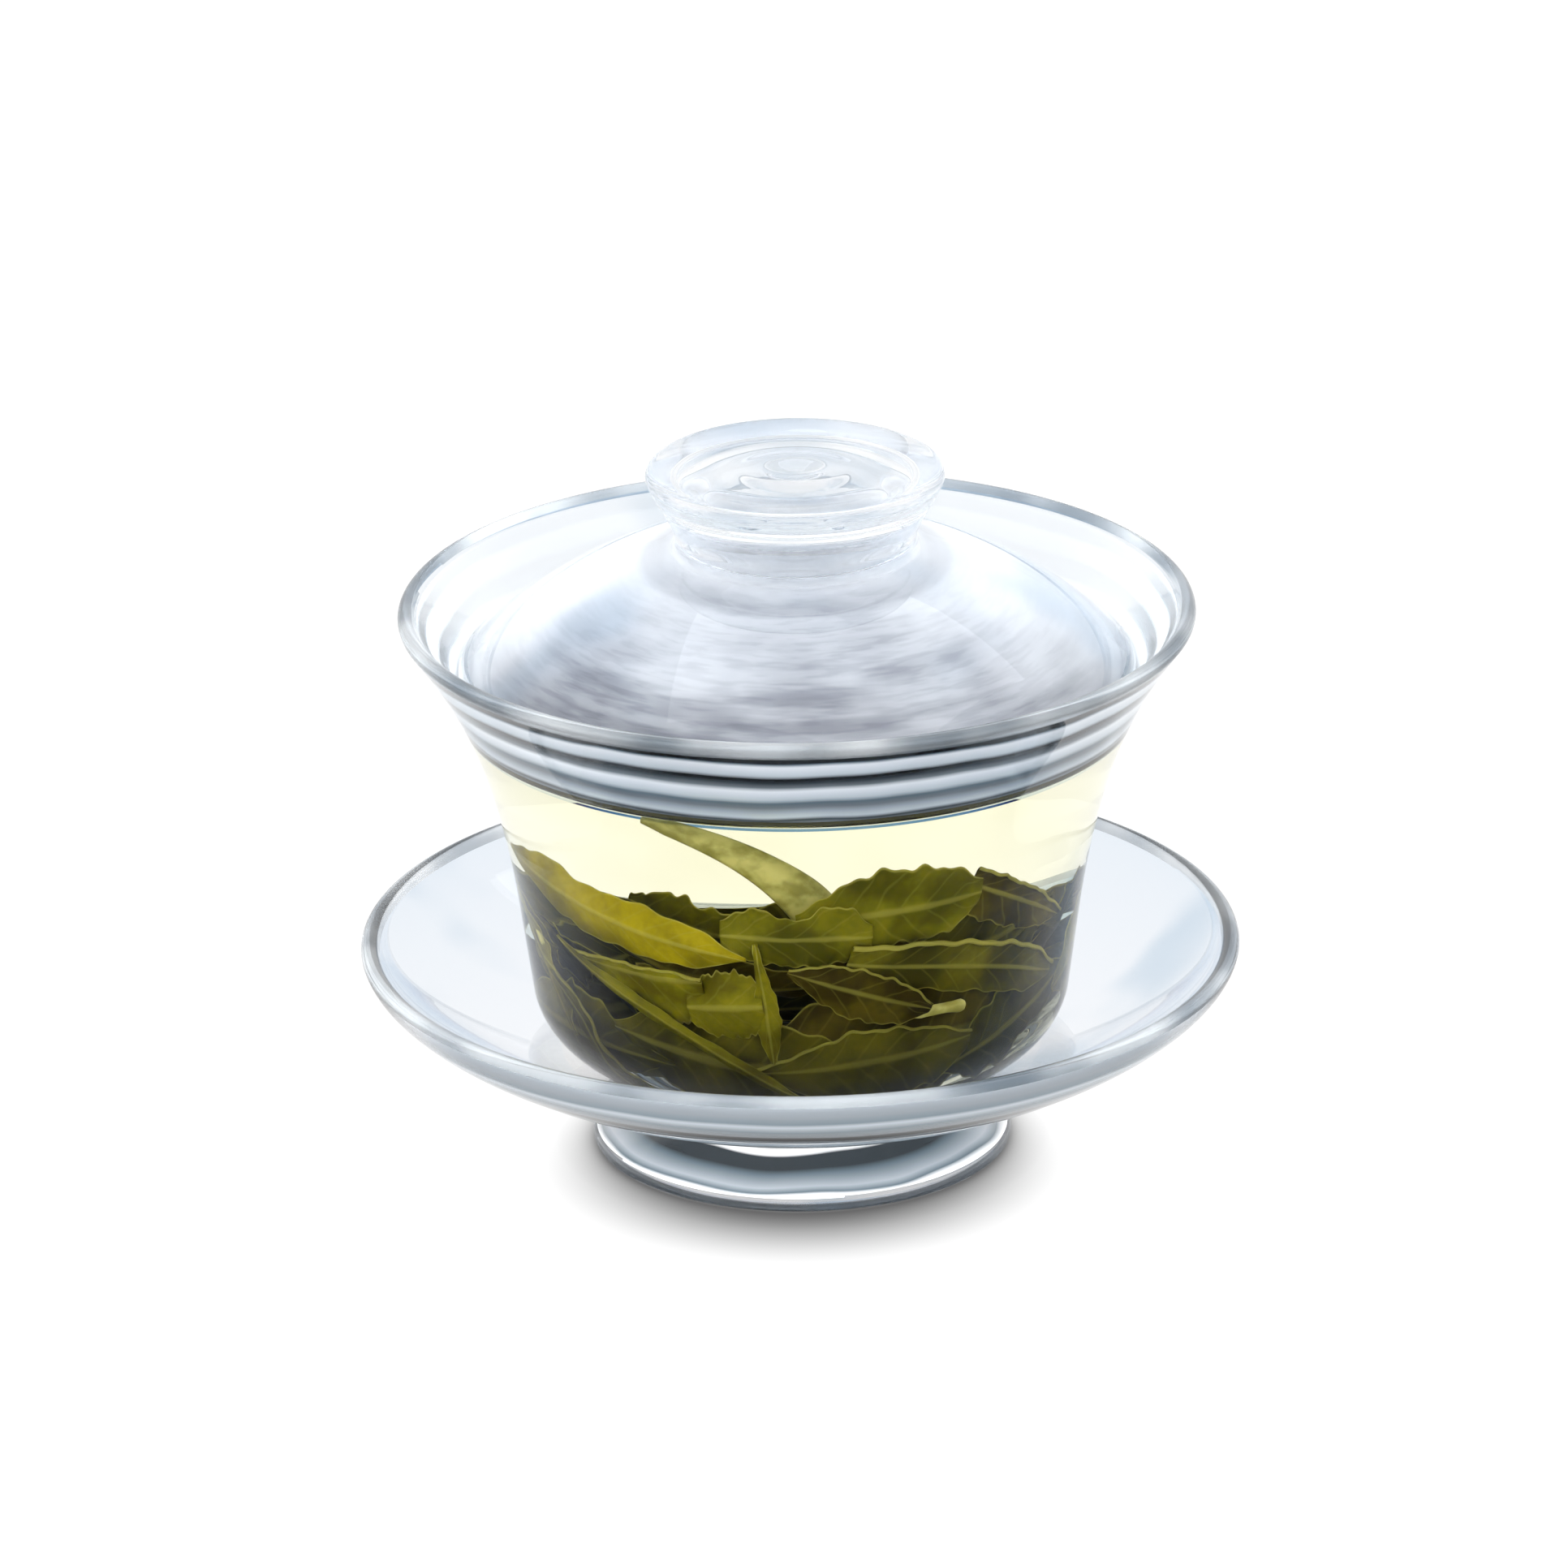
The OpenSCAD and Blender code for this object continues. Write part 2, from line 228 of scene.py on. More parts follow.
def saucer_outline():
    """The saucer with its pedestal, from the middle of its well to that of its underside."""
    under = saucer_under()
    over = [p for p in shifted(under, -SAUCER_WALL) if p.y > WELL_Z + 0.1]
    lip = arc(SAUCER_LIP_AT, SAUCER_BEAD, 180 - RIM_SLOPE, -RIM_SLOPE)
    flare = foot_flare()
    hollow = [p for p in shifted(flare, -FOOT_WALL) if p.y > 0.7]
    edge = arc(FOOT_EDGE_AT, FOOT_BEAD, 90 - FOOT_SLOPE, -90)
    inside_edge = [Vector((FOOT_EDGE_AT.x - 0.9, FOOT_LOW[2]))]
    # The weld between dish and pedestal is a small fillet
    joined = [p for p in under if p.x > NECK_R + 1.3]
    weld_end = Vector((NECK_R - 0.05, 7.2))
    weld = bezier(
        joined[-1], Vector((NECK_R + 0.5, joined[-1].y - 0.2)), weld_end + Vector((0.15, 1.0)),
        weld_end, 8,
    )
    flare = [p for p in flare if p.y < 7.0]
    top = [Vector((r, WELL_Z)) for r in (0, 8, 16, WELL_R)]
    ceiling = [Vector((r, SAUCER_LOW[2])) for r in (12, 6, 0)]
    hollow_top = [p for p in hollow if p.y < SAUCER_LOW[2] - 1.2]
    fillet = bezier(
        hollow_top[0], hollow_top[0] + Vector((0, 0.8)), Vector((14.2, SAUCER_LOW[2])),
        Vector((13.2, SAUCER_LOW[2])), 8,
    )
    return cleaned(
        top + over[::-1] + lip[1:-1] + joined + weld[1:] + flare + edge[1:] + inside_edge
        + hollow_top[::-1] + fillet[1:] + ceiling
    )


def dome_angle(radius):
    """How high up the dome a radius lies, in degrees."""
    return math.degrees(math.acos(radius / DOME_R))


def knob_top(rim_r):
    """The knob's dished top with its swell and dimple, from the middle of its rim to the axis."""
    points = bezier(
        Vector((rim_r, KNOB_TOP)), Vector((KNOB_R - 4, KNOB_TOP)),
        Vector((KNOB_R - 5, KNOB_DISH)), Vector((KNOB_R - 8, KNOB_DISH)), 16,
    )
    points += bezier(
        Vector((KNOB_R - 8, KNOB_DISH)), Vector((6.5, KNOB_DISH)),
        Vector((7, KNOB_SWELL)), Vector((4.5, KNOB_SWELL)), 12,
    )
    points += bezier(
        Vector((4.5, KNOB_SWELL)), Vector((3, KNOB_SWELL)),
        Vector((2.2, KNOB_DIMPLE)), Vector((0, KNOB_DIMPLE)), 12,
    )
    return points


def knob_cavity(rim_r):
    """The closed hollow in the knob, from the axis on the dome to the axis under the top."""
    hole_r = rim_r - KNOB_WALL
    ceiling = KNOB_DISH - KNOB_WALL
    floor_r = KNOB_NECK.x - KNOB_WALL - 0.6
    floor = DOME_CENTRE + DOME_R * heading(dome_angle(floor_r))
    wall_start = Vector((floor_r + 0.7, KNOB_NECK.y + 1.4))
    wall_end = Vector((hole_r + 0.2, ceiling - 1.4))
    cavity = [Vector((0, DOME_HIGH[2]))]
    cavity += arc(DOME_CENTRE, DOME_R, 88, dome_angle(floor_r), 12)
    cavity += bezier(
        floor, floor + Vector((0.9, -0.1)), Vector((floor_r + 0.7, KNOB_NECK.y + 0.6)), wall_start, 10
    )[1:]
    cavity += bezier(
        wall_start, Vector((floor_r + 0.9, KNOB_NECK.y + 3.5)), Vector((hole_r - 0.2, ceiling - 3)),
        wall_end, 16,
    )[1:]
    cavity += bezier(
        wall_end, Vector((hole_r + 0.4, ceiling)), Vector((hole_r - 1, ceiling)),
        Vector((hole_r - 4, ceiling)), 12,
    )[1:]
    return cavity + [Vector((6, ceiling + 0.1)), Vector((3, ceiling)), Vector((0, ceiling - 0.3))]


LID_EDGE_AT = DOME_CENTRE + (DOME_R - LID_BEAD) * heading(DOME_RIM_ANGLE)


def lid_outlines():
    """The lid's outer skin, and the skin of the closed cavity in its knob."""
    weld_angle = dome_angle(KNOB_NECK.x + WELD_SPREAD)
    weld = DOME_CENTRE + DOME_R * heading(weld_angle)
    under = arc(DOME_CENTRE, DOME_R - LID_WALL, 90, DOME_RIM_ANGLE, 64)
    rim = arc(LID_EDGE_AT, LID_BEAD, DOME_RIM_ANGLE - 180, DOME_RIM_ANGLE, 20)
    over = arc(DOME_CENTRE, DOME_R, DOME_RIM_ANGLE, weld_angle, 48)
    fillet = bezier(
        weld, weld + 1.4 * heading(weld_angle + 90), KNOB_NECK + Vector((0, -0.9)), KNOB_NECK, 10
    )
    bead = Vector((KNOB_R - KNOB_BEAD, KNOB_TOP - KNOB_BEAD))
    side_end = bead + KNOB_BEAD * heading(KNOB_SIDE_ANGLE)
    side = bezier(
        KNOB_NECK, KNOB_NECK + Vector((0, 2.4)), side_end + 4 * heading(KNOB_SIDE_ANGLE - 90),
        side_end, 24,
    )
    edge = arc(bead, KNOB_BEAD, KNOB_SIDE_ANGLE, 90, 14)
    skin = under + rim[1:] + over[1:] + fillet[1:] + side[1:] + edge[1:] + knob_top(bead.x)[1:]
    return cleaned(skin)[::-1], cleaned(knob_cavity(bead.x))


def tea_outline(rise=1.3, sink=0.15):
    """The tea: its sides sink a little into the glass, and its edge rises in a meniscus."""
    side = [p for p in shifted(bowl_side(), -(BOWL_WALL - sink)) if p.y < TEA_TOP + rise]
    wall_r = side[0].x
    surface = []
    for i in range(25):
        inward = 9.0 * (i / 24) ** 2
        surface.append(Vector((wall_r - inward, TEA_TOP + rise * math.exp(-inward / 1.1))))
    surface += [Vector((r, TEA_TOP)) for r in (24, 16, 8, 0)]
    bottom = [Vector((r, BOWL_LOW[2] + BOWL_WALL - sink)) for r in (0, 6, 12, 18)]
    return cleaned(bottom + side[::-1] + surface)[::-1]


# ---- Meshes ----


def add_object(name, vertices, faces, material, smooth=True):
    mesh = bpy.data.meshes.new(name)
    mesh.from_pydata([v * MM for v in vertices], [], faces)
    mesh.validate()
    mesh.update()
    if smooth:
        mesh.polygons.foreach_set("use_smooth", [True] * len(mesh.polygons))
    obj = bpy.data.objects.new(name, mesh)
    bpy.context.scene.collection.objects.link(obj)
    obj.data.materials.append(material)
    return obj


def blown(r, z, angle, amount, seed):
    """How far hand-blown glass lies off its true circle, in millimetres."""
    wave = math.sin(2 * angle + 1.3 * seed + 0.05 * z) + 0.6 * math.sin(3 * angle + 2.1 * seed)
    wave += 0.25 * math.sin(7 * angle + 0.31 * z + seed) + 0.15 * math.sin(11 * angle - 0.47 * z)
    return amount * wave * min(1, r / 25)


def lathe_shell(outline, segments, amount, seed, vertices, faces):
    """Turns one outline from axis to axis into a shell. It faces up where the outline runs outwards."""
    first = len(vertices)
    vertices.append(Vector((0, 0, outline[0].y)))
    rings = outline[1:-1]
    for point in rings:
        for j in range(segments):
            angle = TAU * j / segments
            r = point.x + blown(point.x, point.y, angle, amount, seed)
            vertices.append(Vector((r * math.cos(angle), r * math.sin(angle), point.y)))
    vertices.append(Vector((0, 0, outline[-1].y)))
    last = len(vertices) - 1

    def at(i, j):
        return first + 1 + i * segments + j % segments

    for j in range(segments):
        faces.append((first, at(0, j), at(0, j + 1)))
        for i in range(len(rings) - 1):
            faces.append((at(i, j), at(i + 1, j), at(i + 1, j + 1), at(i, j + 1)))
        faces.append((at(len(rings) - 1, j), last, at(len(rings) - 1, j + 1)))


def lathe(name, outlines, material, segments=256, amount=0.05, seed=1):
    vertices, faces = [], []
    for outline in outlines:
        lathe_shell(outline, segments, amount, seed, vertices, faces)
    return add_object(name, vertices, faces, material)


# ---- Materials ----


GLASS_IOR = 1.47
TEA_IOR = 1.333


def wire(tree, node, inputs):
    """Sets a node's inputs, by name or number, to values or to other nodes' outputs."""
    for key, given in inputs.items():
        if isinstance(given, bpy.types.NodeSocket):
            tree.links.new(given, node.inputs[key])
        else:
            node.inputs[key].default_value = given
    return node


def add_node(tree, kind, inputs):
    return wire(tree, tree.nodes.new("ShaderNode" + kind), inputs)


def new_material(name, inputs):
    """A material and its node tree, with the main shader's inputs set."""
    material = bpy.data.materials.new(name)
    material.use_nodes = True
    tree = material.node_tree
    wire(tree, tree.nodes["Principled BSDF"], inputs)
    return material, tree


def rgb(red, green, blue):
    return (red, green, blue, 1)


def value_node(tree, operation, *inputs):
    """The result of a sum on numbers or outputs."""
    node = add_node(tree, "Math", dict(enumerate(inputs)))
    node.operation = operation
    return node.outputs["Value"]


def times(tree, first, second):
    return value_node(tree, "MULTIPLY", first, second)


def scaled(tree, value, factor, offset):
    return value_node(tree, "MULTIPLY_ADD", value, factor, offset)


def span_node(tree, value, start, end):
    """0 where the value is at start and 1 where it is at end, smoothly."""
    node = add_node(tree, "MapRange", {"Value": value, "From Min": start, "From Max": end})
    node.interpolation_type = "SMOOTHSTEP"
    return node.outputs["Result"]


def mixed_colour(tree, share, first, second):
    """A colour between two, each of which is a colour or an output."""
    node = tree.nodes.new("ShaderNodeMix")
    node.data_type = "RGBA"
    wire(tree, node, {"Factor": share, 6: first, 7: second})
    return node.outputs[2]


def noise_node(tree, coordinates, scale, detail=3):
    inputs = {"Vector": coordinates, "Scale": scale, "Detail": detail}
    return add_node(tree, "TexNoise", inputs).outputs["Fac"]


def vector_node(tree, operation, output, *inputs):
    node = add_node(tree, "VectorMath", dict(enumerate(inputs)))
    node.operation = operation
    return node.outputs[output]


def places(tree):
    """A point's place on its object, as a vector."""
    return tree.nodes.new("ShaderNodeTexCoord").outputs["Object"]


def parts(tree, vector):
    """The outputs X, Y and Z of a vector."""
    return add_node(tree, "SeparateXYZ", {"Vector": vector}).outputs


def bump_node(tree, height, strength, distance):
    inputs = {"Height": height, "Strength": strength, "Distance": distance * MM}
    return add_node(tree, "Bump", inputs).outputs["Normal"]


def fill_with(tree, colour, density):
    """Gives a material a body that takes up light on its way through."""
    body = add_node(tree, "VolumeAbsorption", {"Color": colour, "Density": density})
    wire(tree, tree.nodes["Material Output"], {"Volume": body.outputs["Volume"]})


def patched_tint(tree, coordinates, tint, reflection_patches):
    """The tint, with blue-grey patches of painted reflection standing in for the room that clear glass
    shows.
    """
    patch = span_node(tree, noise_node(tree, coordinates, 38, 2), 0.50, 0.66)
    return mixed_colour(tree, patch, tint, reflection_patches)


def clear_material(name, tint, reflection_patches, shine):
    """Clear borosilicate glass with the faint ripple that a flame leaves, and patches of painted
    reflection.
    """
    material, tree = new_material(
        name,
        {
            "Specular Tint": rgb(shine, shine, shine), "Roughness": 0.0, "IOR": GLASS_IOR,
            "Transmission Weight": 1.0,
        },
    )
    fill_with(tree, rgb(0.55, 0.72, 0.86), 6)
    coordinates = places(tree)
    stretch = add_node(tree, "Mapping", {"Vector": coordinates, "Scale": (1, 1, 2.2)})
    ripple = noise_node(tree, stretch.outputs["Vector"], 55, 1)
    wire(tree, tree.nodes["Principled BSDF"], {
        "Base Color": patched_tint(tree, coordinates, tint, reflection_patches),
        "Normal": bump_node(tree, ripple, 0.02, 0.4),
    })
    return material


def tea_material():
    """Pale yellow tea: clear, and coloured by its depth."""
    material, tree = new_material(
        "tea",
        {
            "Base Color": rgb(1, 1, 1), "Roughness": 0.0, "IOR": TEA_IOR,
            "Specular Tint": rgb(0.03, 0.03, 0.03), "Transmission Weight": 1.0,
        },
    )
    fill_with(tree, rgb(0.92, 0.86, 0.15), 6)
    return material


def mist_and_reflection_material():
    """The lid's underside, misted by steam in streaks round the dome, with painted reflection of the
    room.
    """
    material, tree = new_material(
        "mist_and_reflection_glass",
        {
            "Roughness": 0.3, "IOR": GLASS_IOR, "Specular Tint": rgb(0.2, 0.2, 0.2),
            "Transmission Weight": 0.35,
        },
    )
    coordinates = places(tree)
    flat = vector_node(tree, "MULTIPLY", "Vector", coordinates, (1, 1, 0))
    outwards = parts(tree, vector_node(tree, "NORMALIZE", "Vector", flat))
    radius = value_node(tree, "DIVIDE", vector_node(tree, "LENGTH", "Value", flat), MM)
    # A place where the streaks are long round the dome and narrow from its axis to its rim
    ring = add_node(tree, "CombineXYZ", {
        "X": times(tree, outwards["X"], 1.6), "Y": times(tree, outwards["Y"], 1.6),
        "Z": times(tree, radius, 0.42),
    }).outputs["Vector"]
    streak = span_node(tree, noise_node(tree, ring, 1.0, 4), 0.35, 0.62)
    scratch = span_node(tree, noise_node(tree, ring, 3.6, 5), 0.47, 0.60)
    cloud = span_node(tree, noise_node(tree, coordinates, 60, 3), 0.3, 0.7)
    outer = span_node(tree, radius, 20, 40)
    # Painted reflection of the room: the mist is darker in front and in a ring round the knob's weld
    front = span_node(tree, parts(tree, coordinates)["Y"], 4 * MM, -26 * MM)
    weld = times(tree, span_node(tree, radius, 14, 17), span_node(tree, radius, 19.5, 18))
    mist = times(tree, streak, scaled(tree, outer, 0.19, 0.09))
    mist = scaled(tree, scratch, 0.09, mist)
    mist = value_node(tree, "ADD", mist, scaled(tree, cloud, 0.30, 0.45))
    mist = scaled(tree, outer, 0.10, mist)
    mist = times(tree, mist, scaled(tree, front, 0.77, 0.23))
    mist = scaled(tree, weld, 0.22, mist)
    colour = mixed_colour(tree, mist, rgb(0.66, 0.69, 0.73), rgb(0.125, 0.135, 0.165))
    wire(tree, tree.nodes["Principled BSDF"], {"Base Color": colour})
    return material


# Colours of the painted reflections and shade, bands of the room that glass shows, each with its share
# over the clear glass
CLEAR = (0.5, 0.54, 0.58, 0)
BLACK = (0.006, 0.007, 0.008, 1)
SLATE = (0.035, 0.043, 0.050, 1)
STEEL = (0.11, 0.15, 0.18, 1)
GREY = (0.17, 0.19, 0.21, 1)
MILK = (0.36, 0.40, 0.44, 1)
SILVER = (0.62, 0.67, 0.71, 0.9)
WHITE = (0.98, 0.99, 1.0, 0.9)
# Tints of the clear glass; the bowl's and the saucer's are deeper than the glass's own, painted shade
# for the blue-grey that they show
LID_TINT = rgb(0.99, 0.992, 0.996)
BOWL_TINT = rgb(0.84, 0.875, 0.91)
SAUCER_TINT = rgb(0.90, 0.90, 0.915)
# Patches of painted reflection of the room
ROOM_REFLECTION_PATCHES = rgb(0.66, 0.73, 0.80)


def glass_with_painted_reflections(name, measure, stops, tint, least, wander, reach):
    """Glass with reflections and shade of the room painted into its colour, as bands.

    Stops are (height or radius in millimetres, colour with its share). The bands are full in front
    and fall to the least share between the two places of reach, in millimetres along Y; they wander
    to both sides by a share of their width.
    """
    material, tree = new_material(name, {"Roughness": 0.0, "IOR": GLASS_IOR})
    coordinates = places(tree)
    place = parts(tree, coordinates)
    if measure == "height":
        value = place["Z"]
    else:
        value = vector_node(
            tree, "LENGTH", "Value", vector_node(tree, "MULTIPLY", "Vector", coordinates, (1, 1, 0))
        )
    first, last = stops[0][0], stops[-1][0]
    share = value_node(tree, "SUBTRACT", value, first * MM)
    share = value_node(tree, "DIVIDE", share, (last - first) * MM)
    drift = scaled(tree, noise_node(tree, coordinates, 70, 1), wander, -wander / 2)
    ramp = add_node(tree, "ValToRGB", {"Fac": value_node(tree, "ADD", share, drift)})
    elements = ramp.color_ramp.elements
    while len(elements) < len(stops):
        elements.new(1.0)
    for element, (at, colour) in zip(elements, stops):
        element.position = (at - first) / (last - first)
        element.color = colour
    front = span_node(tree, place["Y"], reach[0] * MM, reach[1] * MM)
    strength = times(tree, scaled(tree, front, 1 - least, least), ramp.outputs["Alpha"])
    plain = patched_tint(tree, coordinates, tint, ROOM_REFLECTION_PATCHES)
    wire(tree, tree.nodes["Principled BSDF"], {
        "Base Color": mixed_colour(tree, strength, plain, ramp.outputs["Color"]),
        "Transmission Weight": scaled(tree, strength, -0.8, 1),
    })
    return material


def patchy_material(name, scale, edges, colours, roughness, ior, transmission):
    """A surface whose colour goes between two in patches, where noise goes between two edges."""
    material, tree = new_material(
        name, {"Roughness": roughness, "IOR": ior, "Transmission Weight": transmission}
    )
    patch = noise_node(tree, places(tree), scale, 2)
    if edges:
        patch = span_node(tree, patch, *edges)
    colour = mixed_colour(tree, patch, *colours)
    wire(tree, tree.nodes["Principled BSDF"], {"Base Color": colour})
    return material


def leaf_material(name, dark, light, pale):
    """A wet steeped leaf: mottled, with a pale midrib, side veins and margin, lit through."""
    material, tree = new_material(name, {"Roughness": 0.5, "Specular IOR Level": 0.04})
    shader = tree.nodes["Principled BSDF"]
    blade = tree.nodes.new("ShaderNodeUVMap")
    blade.uv_map = "blade"
    uv = parts(tree, blade.outputs["UV"])
    coordinates = places(tree)
    across = value_node(tree, "ABSOLUTE", scaled(tree, uv["Y"], 2, -1))
    midrib = span_node(tree, across, 0.13, 0.03)
    margin = span_node(tree, across, 0.92, 0.99)
    vein = times(tree, uv["X"], UV_MM / VEIN_STEP)
    vein = value_node(tree, "SUBTRACT", vein, times(tree, across, VEIN_SLANT))
    wander = scaled(tree, noise_node(tree, coordinates, 130, 1), 0.5, -0.25)
    vein = value_node(tree, "FRACT", value_node(tree, "ADD", vein, wander))
    off_vein = value_node(tree, "ABSOLUTE", value_node(tree, "SUBTRACT", vein, 0.5))
    side = span_node(tree, off_vein, 0.09, 0.02)
    blotch = span_node(tree, noise_node(tree, coordinates, 120, 4), 0.34, 0.64)
    fine = span_node(tree, noise_node(tree, coordinates, 1100, 2), 0.3, 0.7)
    veins = value_node(tree, "MAXIMUM", times(tree, midrib, 0.34), times(tree, side, 0.10))
    veins = value_node(tree, "MAXIMUM", veins, times(tree, margin, 0.62))
    mottled = mixed_colour(tree, blotch, dark, light)
    mottled = mixed_colour(tree, times(tree, fine, 0.22), mottled, dark)
    colour = mixed_colour(tree, veins, mottled, pale)
    # Less light reaches the leaves lower down
    deep = span_node(tree, parts(tree, coordinates)["Z"], 40 * MM, 18 * MM)
    colour = mixed_colour(tree, times(tree, deep, 0.55), colour, rgb(0.014, 0.012, 0.002))
    relief = scaled(tree, veins, 0.8, times(tree, fine, 0.25))
    surface = {"Color": colour, "Normal": bump_node(tree, relief, 0.5, 0.12)}
    wire(tree, shader, {"Base Color": surface["Color"], "Normal": surface["Normal"]})
    through = add_node(tree, "BsdfTranslucent", surface)
    both = add_node(
        tree, "MixShader", {"Fac": 0.4, 1: shader.outputs["BSDF"], 2: through.outputs["BSDF"]}
    )
    wire(tree, tree.nodes["Material Output"], {"Surface": both.outputs["Shader"]})
    return material


def stem_material(name, dark, light):
    """A pale fibrous stem."""
    material, tree = new_material(name, {"Roughness": 0.5, "Specular IOR Level": 0.3})
    coordinates = places(tree)
    blotch = span_node(tree, noise_node(tree, coordinates, 320, 4), 0.35, 0.65)
    fibre = noise_node(tree, coordinates, 1500, 2)
    wire(tree, tree.nodes["Principled BSDF"], {
        "Base Color": mixed_colour(tree, blotch, dark, light),
        "Normal": bump_node(tree, fibre, 0.5, 0.15),
    })
    return material


# ---- Leaves and stems ----

LEAF_THICK = 0.26
LEAST_GAP = 0.4
FLOOR_Z = BOWL_LOW[2] + BOWL_WALL
# Length of leaf for each unit of the UV
UV_MM = 60
# Distance between side veins, and how many such distances a vein runs back from midrib to margin
VEIN_STEP = 3.4
VEIN_SLANT = 1.3
LEAF_STEPS, LEAF_ROWS = 64, 28
# Where the rolled upper margin of a leaf begins, as a share of its half width
ROLL_START = 0.7


@dataclass
class Leaf:
    """One steeped leaf that lies against the bowl's wall, or in the heap if bend is set.

    Azimuth 0 is the front and grows towards +X; gap is its way in from the wall, and in the heap
    it is the distance from the axis. A positive slope puts the +X end lower. upper and lower are
    half widths at even steps from the -X end, above and below the midrib; line and depth are how
    far the midrib wanders up and inwards on its way; roll is the radius of a rolled upper margin.
    """

    azimuth: float
    gap: float
    height: float
    length: float
    slope: float
    upper: tuple
    lower: tuple
    shade: str = "olive"
    line: tuple = (0, 0)
    depth: tuple = (0, 0)
    fold: float = 10
    wave: float = 0.35
    waves: float = 2.5
    teeth: int = 0
    lean: float = 0
    bend: float = 0
    phase: float = 0
    roll: float = 0


def smooth_through(values, t):
    """The value at t, from 0 to 1, on a smooth curve through evenly spaced values."""
    last = len(values) - 1
    i = min(int(t * last), last - 1)
    f = t * last - i
    before, a, b, after = (values[min(max(i + k, 0), last)] for k in (-1, 0, 1, 2))
    rise_a, rise_b = (b - before) / 2, (after - a) / 2
    h = f * f * (3 - 2 * f)
    return a + (b - a) * h + rise_a * f * (1 - f) ** 2 - rise_b * f * f * (1 - f)


def wall_curve():
    """The bowl's inner side, from its lip to its floor."""
    return [p for p in shifted(bowl_side(), -BOWL_WALL) if p.y > FLOOR_Z]


WALL_CURVE = wall_curve()


def wall_radius(z):
    """The bowl's inner radius at a height."""
    for a, b in zip(WALL_CURVE, WALL_CURVE[1:]):
        if a.y >= z >= b.y and a.y > b.y:
            return a.x + (b.x - a.x) * (a.y - z) / (a.y - b.y)
    return WALL_CURVE[-1].x if z < WALL_CURVE[-1].y else WALL_CURVE[0].x


def on_wall(leaf, x, z, depth):
    """A point of a leaf that follows the bowl's wall."""
    turn = math.radians(leaf.slope)
    height = max(leaf.height - x * math.sin(turn) + z * math.cos(turn), FLOOR_Z + LEAST_GAP)
    spread = wall_radius(leaf.height) - leaf.gap
    angle = math.radians(leaf.azimuth) + (x * math.cos(turn) + z * math.sin(turn)) / spread
    r = wall_radius(height) - max(leaf.gap + depth, LEAST_GAP)
    return Vector((r * math.sin(angle), -r * math.cos(angle), height))


def in_heap(leaf, x, z, depth):
    """A point of a leaf that leans inside the heap, bent like the ring that it lies in."""
    angle = x / leaf.bend
    r = leaf.bend - depth
    point = Vector((r * math.sin(angle), leaf.bend - r * math.cos(angle), z))
    point = Matrix.Rotation(math.radians(leaf.lean), 3, "X") @ point
    point = Matrix.Rotation(math.radians(leaf.slope), 3, "Y") @ point
    point += Vector((0, -leaf.gap, leaf.height))
    point = Matrix.Rotation(math.radians(leaf.azimuth), 3, "Z") @ point
    point.z = max(point.z, FLOOR_Z + LEAST_GAP)
    most = wall_radius(point.z) - LEAST_GAP
    r = math.hypot(point.x, point.y)
    if r > most:
        point.x *= most / r
        point.y *= most / r
    return point


def leaf_point(leaf, u, v):
    """The middle surface of a leaf, u from 0 to 1 along it and v from -1 to 1 across it."""
    half = max(smooth_through(leaf.upper if v > 0 else leaf.lower, u), 0.12)
    half *= 1 + 0.05 * math.sin(31 * u + leaf.phase) + 0.04 * math.sin(57 * u + 2 * leaf.phase + 2 * v)
    if leaf.teeth:
        half *= 1 + 0.11 * abs(v) ** 8 * ((u * leaf.teeth) % 1 - 0.5)
    fold = math.radians(leaf.fold)
    across = abs(v) * half
    ripple = math.sin(TAU * leaf.waves * u + leaf.phase + 1.9 * v)
    ripple += 0.5 * math.sin(TAU * 2.3 * leaf.waves * u + 2.1 * leaf.phase - 2.6 * v)
    depth = smooth_through(leaf.depth, u) + across * math.sin(fold)
    depth += leaf.wave * ripple * (0.25 + abs(v) ** 2)
    z = smooth_through(leaf.line, u) + math.copysign(across * math.cos(fold), v)
    if leaf.roll and v > ROLL_START:
        turn = math.pi * (v - ROLL_START) / (1 - ROLL_START)
        z -= (v - ROLL_START) * half * math.cos(fold) - leaf.roll * math.sin(turn)
        depth -= leaf.roll * (1 - math.cos(turn))
    x = (u - 0.5) * leaf.length
    return (in_heap if leaf.bend else on_wall)(leaf, x, z, depth)


def vein_relief(leaf, u, v):
    """How far the midrib and the side veins stand out of the blade, from 0 to 1."""
    midrib = math.exp(-(v / 0.09) ** 2)
    place = u * leaf.length / VEIN_STEP - VEIN_SLANT * abs(v)
    side = math.exp(-(((place % 1) - 0.5) / 0.12) ** 2) * (1 - abs(v))
    return midrib + 0.3 * side


